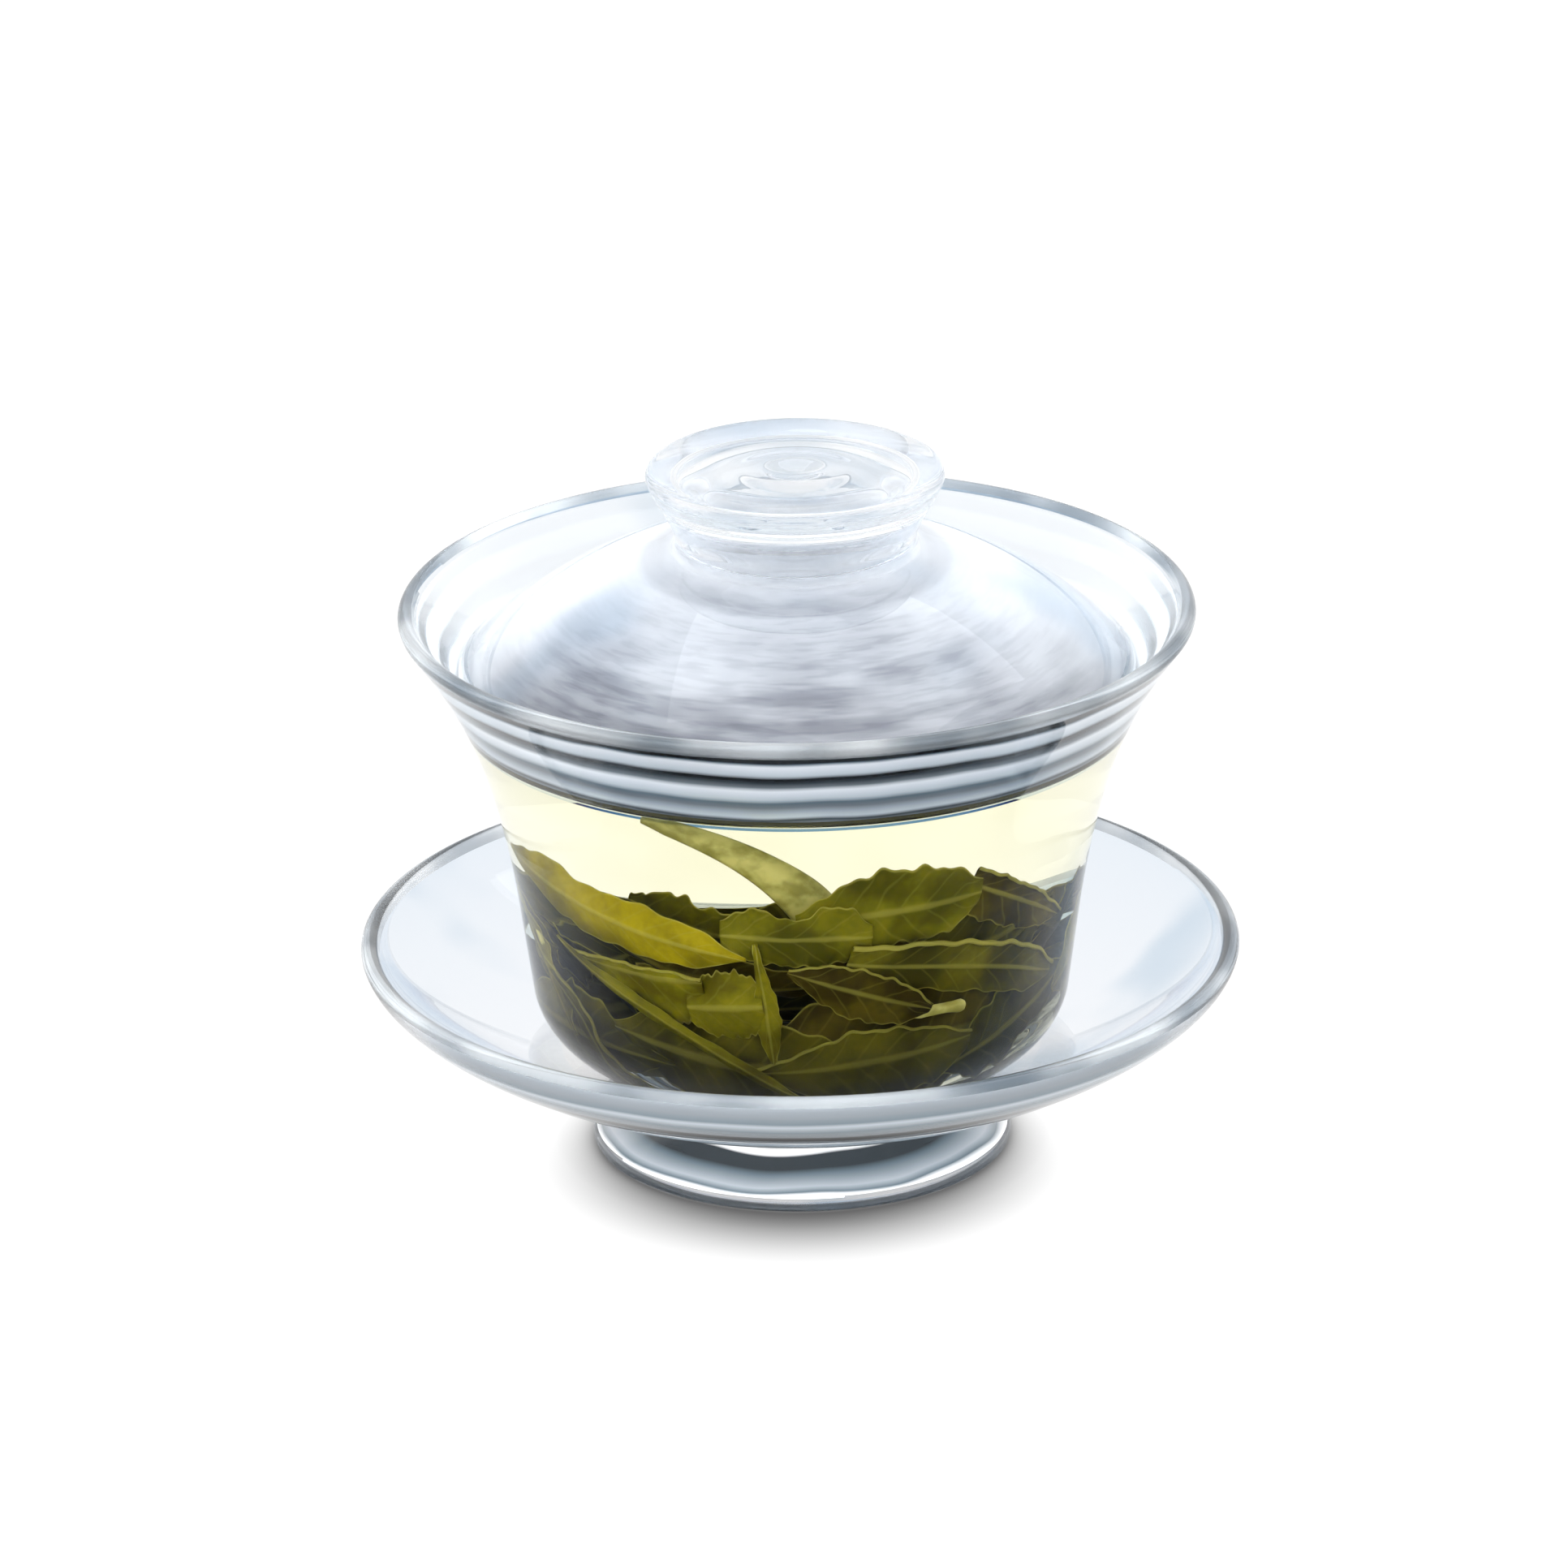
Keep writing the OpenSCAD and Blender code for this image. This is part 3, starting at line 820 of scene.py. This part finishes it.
def sheet(name, point_at, relief_at, length, material, thick, rolled):
    """A closed sheet of two faces from its middle surface, with its length and width as UV.

    A rolled upper margin shows its pale side, so there the width in the UV ends early.
    """
    rows, steps = LEAF_ROWS, LEAF_STEPS
    grid = [
        [point_at(i / steps, 2 * j / rows - 1) for j in range(rows + 1)] for i in range(steps + 1)
    ]
    front, back = [], []
    for i in range(steps + 1):
        for j in range(rows + 1):
            along = grid[min(i + 1, steps)][j] - grid[max(i - 1, 0)][j]
            across = grid[i][min(j + 1, rows)] - grid[i][max(j - 1, 0)]
            normal = along.cross(across).normalized()
            u, v = i / steps, 2 * j / rows - 1
            half = thick / 2 * (0.35 + 0.65 * math.sqrt(1 - abs(v) ** 3))
            half += 0.22 * thick * relief_at(u, v)
            front.append(grid[i][j] + normal * half)
            back.append(grid[i][j] - normal * half)
    vertices = front + back
    width, offset = rows + 1, len(front)
    faces = []
    for i in range(steps):
        for j in range(rows):
            a, b = i * width + j, (i + 1) * width + j
            faces.append((a, b, b + 1, a + 1))
            faces.append((a + offset, a + 1 + offset, b + 1 + offset, b + offset))
    border = [i * width for i in range(steps + 1)]
    border += [steps * width + j for j in range(1, rows + 1)]
    border += [i * width + rows for i in range(steps - 1, -1, -1)]
    border += [j for j in range(rows - 1, 0, -1)]
    for a, b in zip(border, border[1:] + border[:1]):
        faces.append((a, a + offset, b + offset, b))
    obj = add_object(name, vertices, faces, material)
    layer = obj.data.uv_layers.new(name="blade")
    for loop in obj.data.loops:
        i, j = divmod(loop.vertex_index % offset, width)
        width_share = j / rows
        if rolled and width_share > 0.5:
            width_share = min(0.5 + (width_share - 0.5) * 1.2, 1)
        layer.data[loop.index].uv = (i / steps * length / UV_MM, width_share)
    return obj


def add_leaf(number, leaf):
    name = f"tea_leaf_{number:02d}"
    piece = sheet(
        f"leaf_{number:02d}", lambda u, v: leaf_point(leaf, u, v),
        lambda u, v: vein_relief(leaf, u, v), leaf.length, leaf_materials[leaf.shade], LEAF_THICK,
        leaf.roll > 0,
    )
    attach(piece, "bowl")
    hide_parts(name)


# Half widths of a plain leaf, as shares of the greatest
PLAIN_SHAPE = (0.10, 0.62, 0.92, 1.0, 0.9, 0.66, 0.34, 0.06)


def plain_leaf(rng, azimuth, gap, height, length, width, slope, lean=0, bend=0):
    """A leaf of the common shape, with its own ripples, fold and shade."""
    half = width / 2
    upper = tuple(half * share * rng.uniform(0.85, 1.15) for share in PLAIN_SHAPE)
    lower = tuple(half * share * rng.uniform(0.85, 1.15) for share in PLAIN_SHAPE)
    return Leaf(
        azimuth, gap, height, length, slope, upper, lower,
        shade=rng.choice(("olive", "olive", "dark", "brown")),
        line=(0, rng.uniform(-1.2, 1.2), 0),
        depth=(rng.uniform(0, 0.8), 0, rng.uniform(0, 0.8)),
        fold=rng.uniform(4, 20), wave=rng.uniform(0.2, 0.45), waves=rng.uniform(1.5, 3),
        teeth=rng.choice((0, 0, 16)), lean=lean, bend=bend, phase=rng.uniform(0, TAU),
    )


FRONT_LEAVES = [
    # The big yellow-green leaf across the left of the front, with its notched upper margin
    Leaf(-45, 0.9, 39.6, 39, 9, (0.4, 3.0, 4.2, 3.2, 4.1, 3.6, 2.6, 0.4),
         (0.5, 2.6, 4.0, 4.2, 4.0, 3.6, 2.6, 0.2), "bright", depth=(0, 0.3, 0, 0.5), fold=14, wave=0.3),
    # The broad leaf on the right, with its rolled upper margin
    Leaf(39, 1.3, 32.0, 33, 16, (2.8, 3.8, 4.2, 4.2, 4.0, 3.4, 0.8),
         (2.4, 3.0, 3.3, 3.4, 3.3, 2.9, 0.8), "olive", line=(-0.6, 0.5, 0.6, -0.4), fold=6, wave=0.15,
         roll=0.55),
    # The leaf at the bottom of the front, which rises to a pale tip on the left
    Leaf(15, 1.9, 21.8, 27, -5, (0.3, 2.2, 4.0, 5.6, 5.8, 4.6, 3.0, 0.6),
         (0.3, 2.4, 4.2, 5.2, 5.4, 5.4, 4.6, 2.4), "olive", fold=8, wave=0.3, roll=0.3),
    # The long folded leaf that runs down across the left
    Leaf(-30, 0.5, 25.4, 38, 26, (0.3, 0.9, 1.3, 1.2, 1.1, 1.1, 0.9, 0.3),
         (0.3, 1.0, 1.5, 1.4, 1.2, 1.2, 1.0, 0.3), "fresh", line=(0, 0.9, 0), fold=40, wave=0.1),
    # The toothed leaf that hangs from its straight upper margin
    Leaf(-39, 1.3, 32.6, 19, -2, (0.3, 0.9, 1.0, 1.0, 0.9, 0.3),
         (0.3, 1.2, 3.0, 5.2, 7.2, 6.4, 2.6), "fresh", fold=16, wave=0.4, teeth=15, roll=0.3),
    Leaf(-17, 1.2, 29.6, 9.4, -6, (2.8, 4.6, 5.2, 4.8, 3.4), (2.4, 4.8, 5.4, 5.0, 3.0), "fresh",
         fold=26, wave=0.4, waves=1.2),
    # An upright narrow leaf near the middle
    Leaf(-8, 1.7, 30.4, 17, 84, (0.3, 0.6, 1.0, 1.6, 1.7, 1.1, 0.4),
         (0.3, 0.6, 0.8, 1.5, 1.8, 1.2, 0.4), "fresh", fold=24, wave=0.2),
    # The wavy leaf above the middle
    Leaf(-1, 2.1, 39.6, 18, 1, (2.0, 3.9, 4.3, 2.7, 3.0, 4.8, 4.2, 1.6), (2, 3.5, 4, 4, 4, 3.5, 2),
         "moss", fold=8, wave=0.55, waves=1.8),
    # The rounded darker leaf behind it
    Leaf(20, 3.3, 42.4, 23, -2, (0.8, 3.4, 5.2, 6.3, 6.2, 5.6, 4.4, 2.0), (3, 4.5, 5, 5, 5, 4.5, 2),
         "moss", fold=6, wave=0.35),
    # Leaves down the left side
    Leaf(-54, 0.8, 21.0, 25, 38, (1.0, 1.8, 1.6, 1.4, 2.0, 2.8, 3.2),
         (1.0, 2.2, 1.8, 1.6, 2.4, 3.2, 3.6), "olive", line=(0, 1.2, -0.8, 0), fold=26, roll=0.3),
    Leaf(-72, 0.8, 28.0, 20, 50, (0.4, 1.6, 2.2, 2.0, 1.6, 0.4), (0.4, 1.8, 2.6, 2.2, 1.6, 0.4),
         "fresh", line=(0, 1.0, 0), fold=26),
    # Leaves down the right side
    Leaf(54, 2.4, 39.4, 20, 30, (2.8, 2.9, 2.6, 2.2, 1.6, 0.3), (3.6, 4, 4, 3.5, 2.5, 0.4),
         "brown", depth=(1.2, 0, 0), fold=18, roll=0.4),
    Leaf(58, 2.6, 22.6, 24, -18, (0.5, 3.6, 4.8, 4.6, 3.2, 0.4), (0.5, 3.6, 4.8, 4.6, 3.2, 0.4),
         "dark", fold=14),
]
# Two leaves of the heap's first ring that show: a brown flap over the broad leaf on the right, and
# a blade that stands up behind the big leaf on the left
FLAP = Leaf(13, 0.5, 31.8, 19, 21, (0.3, 2.8, 3.8, 4.0, 3.6, 2.6, 0.6),
            (0.3, 2.0, 3.2, 3.8, 3.6, 2.8, 0.8), "brown", fold=10, wave=0.25, roll=0.25)
STANDING = Leaf(-36, 19, 37.4, 17, 12, (1.0, 3.6, 4.6, 4.4, 3.4, 0.6), (2, 4, 5, 5, 4, 2), "moss",
                wave=0.4, lean=28, bend=25)

# Plain leaves against the wall, round the back: azimuth, gap, height, length, width, slope
BACK_LEAVES = [
    (96, 1.2, 27.4, 27, 11, -16),
    (106, 2.6, 37.0, 20, 9.5, 10),
    (108, 4.0, 20.6, 26, 11, 12),
    (134, 2.2, 29.4, 24, 9, 14),
    (150, 3.2, 21.0, 24, 9, -10),
    (172, 1.0, 29.0, 24, 9, -8),
    (188, 3.4, 21.0, 26, 9, 10),
    (206, 4.8, 20.0, 22, 8, -12),
    (214, 2.2, 28.4, 26, 9, 8),
    (240, 2.8, 21.6, 24, 9, -16),
    (262, 1.0, 31.0, 24, 9.5, -12),
    (-14, 3.0, 22.4, 34, 15, 4),
    (30, 3.6, 23.6, 38, 18, 0),
    (-62, 2.6, 20.2, 30, 12, 0),
]

# Leaves in the heap lie in rings: radius, height at the sides, how much higher in front, how many,
# length, width, lean. The last ring lies on the bowl's floor.
HEAP_RINGS = [
    (23.0, 30.5, 4, 6, 27, 15, 24),
    (18.6, 26.0, 4, 5, 27, 15, 38),
    (12.2, 20.8, 4, 4, 24, 14, 54),
    (6.8, 18.0, 4, 2, 20, 14, 72),
    (20.2, 16.8, 0, 5, 29, 16, 66),
]
HEAP_TURN = 40
HEAP_SLOPE = 6


def all_leaves():
    rng = random.Random(5)
    leaves = list(FRONT_LEAVES)
    leaves += [plain_leaf(rng, *row) for row in BACK_LEAVES]
    for k, (radius, height, rise, count, length, width, lean) in enumerate(HEAP_RINGS):
        for i in range(count):
            azimuth = HEAP_TURN * k + 360 * i / count
            middle = height + rise * math.cos(math.radians(azimuth))
            slope = (HEAP_SLOPE if i % 2 == 0 else -HEAP_SLOPE) if rise else 0
            bend = radius / math.cos(math.radians(lean))
            leaves.append(
                plain_leaf(rng, azimuth, radius, middle, length, width, slope, lean, bend)
            )
    first_ring = len(FRONT_LEAVES) + len(BACK_LEAVES)
    leaves[first_ring] = FLAP
    leaves[first_ring + HEAP_RINGS[0][3] - 1] = STANDING
    return leaves


@dataclass
class Stem:
    """A stem: its middle's place, its length, slope and how far it arches, and its radii."""

    azimuth: float
    gap: float
    height: float
    length: float
    slope: float
    arch: float
    radii: tuple


STEMS = [
    Stem(32, 0.9, 27.4, 7, 2, 0.3, (0.6, 0.7, 0.72, 0.95)),
    Stem(-16, 9, 45.4, 28, 40, 3.8, (1.2, 1.8, 2.3, 2.8, 2.5)),
    Stem(-76, 0.9, 31.8, 6, 24, 0.4, (0.4, 0.6, 0.7)),
    Stem(168, 6, 30.0, 16, -14, 1.0, (0.4, 0.7, 0.8)),
]


def add_stem(number, stem, steps=40, sides=20):
    """A bent tube with closed ends, ribbed along its length."""
    centres = []
    for i in range(steps + 1):
        u = i / steps
        x = (u - 0.5) * stem.length
        turn = math.radians(stem.slope)
        lift = stem.arch * (1 - (2 * u - 1) ** 2)
        z = stem.height - x * math.sin(turn) + lift * math.cos(turn)
        r = wall_radius(stem.height) - stem.gap - smooth_through(stem.radii, u)
        angle = math.radians(stem.azimuth) + (x * math.cos(turn) + lift * math.sin(turn)) / r
        centres.append(Vector((r * math.sin(angle), -r * math.cos(angle), z)))
    vertices, faces = [centres[0]], []
    for i, centre in enumerate(centres):
        along = (centres[min(i + 1, steps)] - centres[max(i - 1, 0)]).normalized()
        side = along.cross(Vector((0, 0, 1))).normalized()
        up = side.cross(along)
        taper = min(1, 4 * min(i, steps - i) / steps + 0.62)
        for j in range(sides):
            a = TAU * j / sides
            radius = smooth_through(stem.radii, i / steps) * taper * (1 + 0.06 * math.sin(5 * a))
            vertices.append(centre + radius * (side * math.cos(a) * 0.8 + up * math.sin(a)))
    vertices.append(centres[-1])
    for j in range(sides):
        k = (j + 1) % sides
        faces.append((0, 1 + k, 1 + j))
        for i in range(steps):
            a, b = 1 + i * sides, 1 + (i + 1) * sides
            faces.append((a + j, a + k, b + k, b + j))
        end = 1 + steps * sides
        faces.append((end + j, end + k, len(vertices) - 1))
    piece = add_object(f"stem_{number:02d}", vertices, faces, stem_green)
    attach(piece, "bowl")
    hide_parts(f"tea_stem_{number:02d}")


# ---- Build ----

tea_side_glass = clear_material("tea_side_glass", rgb(1, 1, 1), rgb(0.97, 0.97, 0.95), 0.04)
clear_glass = clear_material("clear_glass", LID_TINT, ROOM_REFLECTION_PATCHES, 1.0)
bowl_clear = clear_material("bowl_clear", BOWL_TINT, ROOM_REFLECTION_PATCHES, 1.0)
saucer_clear = clear_material("saucer_clear", SAUCER_TINT, ROOM_REFLECTION_PATCHES, 1.0)
# Painted reflections and shade of the room, as bands on the bowl's flare, the saucer's dish and the
# foot
flare_reflections = glass_with_painted_reflections(
    "flare_reflections", "height",
    (
        (57.3, MILK), (58.3, SLATE), (58.8, SILVER), (59.6, MILK), (60.3, GREY), (61.0, STEEL),
        (61.7, SILVER), (63.0, WHITE), (63.7, GREY), (64.5, SLATE), (65.2, BLACK), (65.8, SILVER),
        (67.3, WHITE), (67.8, STEEL), (68.0, BLACK), (68.8, BLACK), (69.2, MILK),
    ),
    BOWL_TINT, 0.10, 0.09, (34, -22),
)
dish_reflections = glass_with_painted_reflections(
    "dish_reflections", "height",
    (
        (14.5, CLEAR), (16.5, STEEL), (18.6, GREY), (18.9, BLACK), (19.7, BLACK), (20.1, GREY),
        (21.4, STEEL), (22.6, MILK), (23.2, STEEL), (24.4, GREY),
    ),
    SAUCER_TINT, 0, 0.06, (-10, -38),
)
foot_reflections = glass_with_painted_reflections(
    "foot_reflections", "radius",
    (
        (16.5, BLACK), (17.8, BLACK), (18.1, WHITE), (18.6, WHITE), (18.9, SLATE), (20.7, SLATE),
        (21.5, STEEL), (23.8, MILK), (24.8, STEEL), (25.5, WHITE),
    ),
    SAUCER_TINT, 0.15, 0.22, (20, -14),
)
# The tea's meniscus, where it climbs the glass: a thin dark olive line of painted shade
tea_edge_shade = patchy_material(
    "tea_edge_shade", 40, None, (rgb(0.03, 0.026, 0.006), rgb(0.08, 0.07, 0.02)), 0.1, TEA_IOR, 0.25
)
# The glass's rounded edges: painted light and shade, patches of grey-blue and white, a little whiter
# than the glass beside them
painted_rim_shading = patchy_material(
    "painted_rim_shading", 45, (0.35, 0.65), (rgb(0.25, 0.30, 0.35), rgb(0.82, 0.86, 0.89)), 0.04,
    GLASS_IOR, 0.80,
)
mist_and_reflection_glass = mist_and_reflection_material()
tea = tea_material()

bowl_glass = lathe("bowl_glass", [bowl_outline()], bowl_clear, seed=1)
saucer_glass = lathe("saucer_glass", [saucer_outline()], saucer_clear, seed=2)
lid_glass = lathe("lid_glass", list(lid_outlines()), clear_glass, seed=3)
tea_body = lathe("tea_body", [tea_outline()], tea, seed=1)


def paint(piece, material, chosen):
    """Gives a material to the faces whose middle, as (radius, height), is chosen."""
    slot = len(piece.data.materials)
    piece.data.materials.append(material)
    for face in piece.data.polygons:
        middle = face.center / MM
        if chosen(Vector((math.hypot(middle.x, middle.y), middle.z))):
            face.material_index = slot


def near(centre, radius):
    return lambda point: (point - centre).length < radius


def beside(curve, reach, inside):
    """Chooses what lies near a curve and inside a box, given as its lowest and highest corners."""
    low, high = inside
    return lambda point: (
        low[0] < point.x < high[0] and low[1] < point.y < high[1]
        and any((point - other).length < reach for other in curve)
    )


def in_flare(point):
    """Chooses the bowl's inner skin above the tea."""
    inner = point.x < wall_radius(point.y) + BOWL_WALL / 2
    return TEA_TOP + 0.8 < point.y < LIP_AT.y and inner


# How far past a bead's own radius its faces are looked for
PAST_BEAD = 0.1
paint(lid_glass, mist_and_reflection_glass, near(DOME_CENTRE, DOME_R - LID_WALL + PAST_BEAD))
paint(lid_glass, painted_rim_shading, near(LID_EDGE_AT, LID_BEAD + PAST_BEAD))
paint(bowl_glass, tea_side_glass, lambda point: point.y < TEA_TOP)
paint(bowl_glass, flare_reflections, in_flare)
paint(bowl_glass, painted_rim_shading, near(LIP_AT, LIP_BEAD + PAST_BEAD))
paint(saucer_glass, painted_rim_shading, near(SAUCER_LIP_AT, SAUCER_BEAD + PAST_BEAD))
paint(saucer_glass, dish_reflections, beside(
    saucer_under(), 0.6, ((30, SAUCER_LOW[2]), (SAUCER_HIGH[0] + 1, SAUCER_LIP_AT.y))
))
paint(saucer_glass, foot_reflections, beside(
    foot_flare(), 0.5, ((16, FOOT_LOW[2]), (FOOT_HIGH[0] + 1, SAUCER_LOW[2] - 0.3))
))
paint(tea_body, tea_edge_shade, lambda point: point.y > TEA_TOP + 0.5)

for piece, body, nodes, slot in (
    (saucer_glass, "saucer", ["saucer_dish", "saucer_foot"], "clear_glass"),
    (bowl_glass, "bowl", ["bowl_body", "bowl_foot"], "clear_glass"),
    (lid_glass, "lid", ["lid_dome", "lid_knob"], "clear_glass"),
    (tea_body, "bowl", ["tea_liquor"], "tea"),
):
    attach(piece, body)
    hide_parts(*nodes)

PALE = rgb(0.60, 0.55, 0.11)
leaf_materials = {
    shade: leaf_material("leaf_" + shade, rgb(*dark), rgb(*light), PALE)
    for shade, dark, light in (
        ("bright", (0.22, 0.175, 0.004), (0.52, 0.42, 0.008)),
        ("fresh", (0.14, 0.12, 0.005), (0.36, 0.32, 0.012)),
        ("moss", (0.09, 0.085, 0.004), (0.26, 0.235, 0.010)),
        ("olive", (0.060, 0.053, 0.004), (0.20, 0.175, 0.010)),
        ("dark", (0.024, 0.022, 0.003), (0.095, 0.085, 0.008)),
        ("brown", (0.045, 0.033, 0.003), (0.155, 0.120, 0.010)),
    )
}
stem_green = stem_material("stem", rgb(0.25, 0.23, 0.04), rgb(0.52, 0.48, 0.14))

for number, leaf in enumerate(all_leaves(), 1):
    add_leaf(number, leaf)
for number, stem in enumerate(STEMS, 1):
    add_stem(number, stem)

# ---- Stage: floor, light and camera ----


def disc(name, radius, z, material, segments=96):
    ring = [
        Vector((radius * math.cos(TAU * i / segments), radius * math.sin(TAU * i / segments), z))
        for i in range(segments)
    ]
    return add_object(name, ring, [tuple(range(segments))], material, smooth=False)


# The painted shadow on the floor: its middle lies this far in front of the axis, and its edge fades
# from this far inside the foot's radius to this far outside it
SHADOW_SHIFT = 9
SHADOW_INSIDE = 12
SHADOW_OUTSIDE = 10


def floor_white():
    """White paper that glows, with a painted soft shadow that falls forwards from the foot."""
    material, tree = new_material("floor", {})
    tree.nodes.remove(tree.nodes["Principled BSDF"])
    # Painted contact shade, darker where the floor lies close to the glass
    nearness = add_node(tree, "AmbientOcclusion", {"Distance": 5 * MM})
    nearness.samples = 16
    painted_contact_shade = value_node(tree, "POWER", nearness.outputs["AO"], 1.5)
    place = places(tree)
    foot_r = FOOT_HIGH[0]
    from_axis = vector_node(tree, "LENGTH", "Value", place)
    from_shadow = vector_node(tree, "DISTANCE", "Value", place, (0, -SHADOW_SHIFT * MM, 0))
    soft = span_node(
        tree, from_shadow, (foot_r - SHADOW_INSIDE) * MM, (foot_r + SHADOW_OUTSIDE) * MM
    )
    # A painted pool of light under the foot, where glass would gather it
    painted_light_pool = times(tree, span_node(tree, from_axis, foot_r * MM, (foot_r - 5) * MM), 0.6)
    shade = value_node(tree, "MAXIMUM", times(tree, soft, painted_contact_shade), painted_light_pool)
    colour = mixed_colour(tree, shade, rgb(0.13, 0.13, 0.13), rgb(1.1, 1.1, 1.1))
    glow = add_node(tree, "Emission", {"Color": colour})
    wire(tree, tree.nodes["Material Output"], {"Surface": glow.outputs["Emission"]})
    return material


floor = disc("floor", 4000, -0.02, floor_white())


# Towards the main softbox: from the left, above and in front
KEY_LIGHT = (-0.55, -0.62, 0.56)


def studio_world():
    """A white room, greyer on the camera's side, so that the glass has something dark to show."""
    world = bpy.data.worlds.new("studio")
    bpy.context.scene.world = world
    world.use_nodes = True
    tree = world.node_tree
    direction = tree.nodes.new("ShaderNodeTexCoord").outputs["Generated"]
    towards = parts(tree, direction)
    in_front = span_node(tree, towards["Y"], -0.6, -0.9)
    overhead = span_node(tree, towards["Z"], 0.55, 0.75)
    path = tree.nodes.new("ShaderNodeLightPath").outputs
    # Leaves are lit by softboxes above, in front and on the right, which the glass doesn't show
    lit = value_node(tree, "GREATER_THAN", path["Diffuse Depth"], 0.5)
    grey = in_front
    for left_white in (overhead, path["Is Camera Ray"], lit):
        grey = times(tree, grey, value_node(tree, "SUBTRACT", 1, left_white))
    colour = mixed_colour(tree, grey, rgb(1, 1, 1), rgb(0.42, 0.44, 0.46))
    aim = vector_node(tree, "DOT_PRODUCT", "Value", direction, KEY_LIGHT)
    key = span_node(tree, aim, 0.3, 0.95)
    above = value_node(tree, "MAXIMUM", towards["Z"], 0)
    right = value_node(tree, "MAXIMUM", towards["X"], 0)
    softbox = times(tree, above, 2.0)
    for light, power in ((in_front, 1.8), (right, 3.8), (key, 5.5)):
        softbox = scaled(tree, light, power, softbox)
    wire(tree, tree.nodes["Background"], {"Color": colour, "Strength": scaled(tree, lit, softbox, 1)})


def soft_light(name, place, target, size, power):
    data = bpy.data.lights.new(name, "AREA")
    data.shape = "RECTANGLE"
    data.size, data.size_y = size
    data.energy = power
    light = bpy.data.objects.new(name, data)
    light.location = place
    light.rotation_mode = "QUATERNION"
    light.rotation_quaternion = (Vector(target) - Vector(place)).to_track_quat("-Z", "Y")
    bpy.context.scene.collection.objects.link(light)


studio_world()
soft_light("overhead", (0.1, 0.25, 0.9), (0, 0, 0.04), (0.9, 0.9), 2.5)

CAMERA_DISTANCE = 1600
CAMERA_ELEVATION = 21.2
CAMERA_ROLL = 0.7
SENSOR = 36
# Focal length, which gives a view 193.2 mm wide at the camera's distance
LENS = SENSOR * CAMERA_DISTANCE / 193.2
AIM = Vector((-1.8, 0, 46.6))


def add_camera():
    data = bpy.data.cameras.new("camera")
    data.sensor_width = SENSOR
    data.lens = LENS
    camera = bpy.data.objects.new("camera", data)
    bpy.context.scene.collection.objects.link(camera)
    elevation = math.radians(CAMERA_ELEVATION)
    back = Vector((0, -math.cos(elevation), math.sin(elevation)))
    turn = (-back).to_track_quat("-Z", "Y").to_matrix()
    roll = Matrix.Rotation(math.radians(-CAMERA_ROLL), 3, "Z")
    place = Matrix.Translation((AIM + back * CAMERA_DISTANCE) * MM)
    camera.matrix_world = place @ (turn @ roll).to_4x4()
    data.clip_start, data.clip_end = 0.05, 20
    bpy.context.scene.camera = camera


add_camera()
bpy.context.scene.view_settings.view_transform = "Standard"
light_paths = bpy.context.scene.cycles
light_paths.max_bounces = 32
light_paths.transmission_bounces = 32
light_paths.glossy_bounces = 16
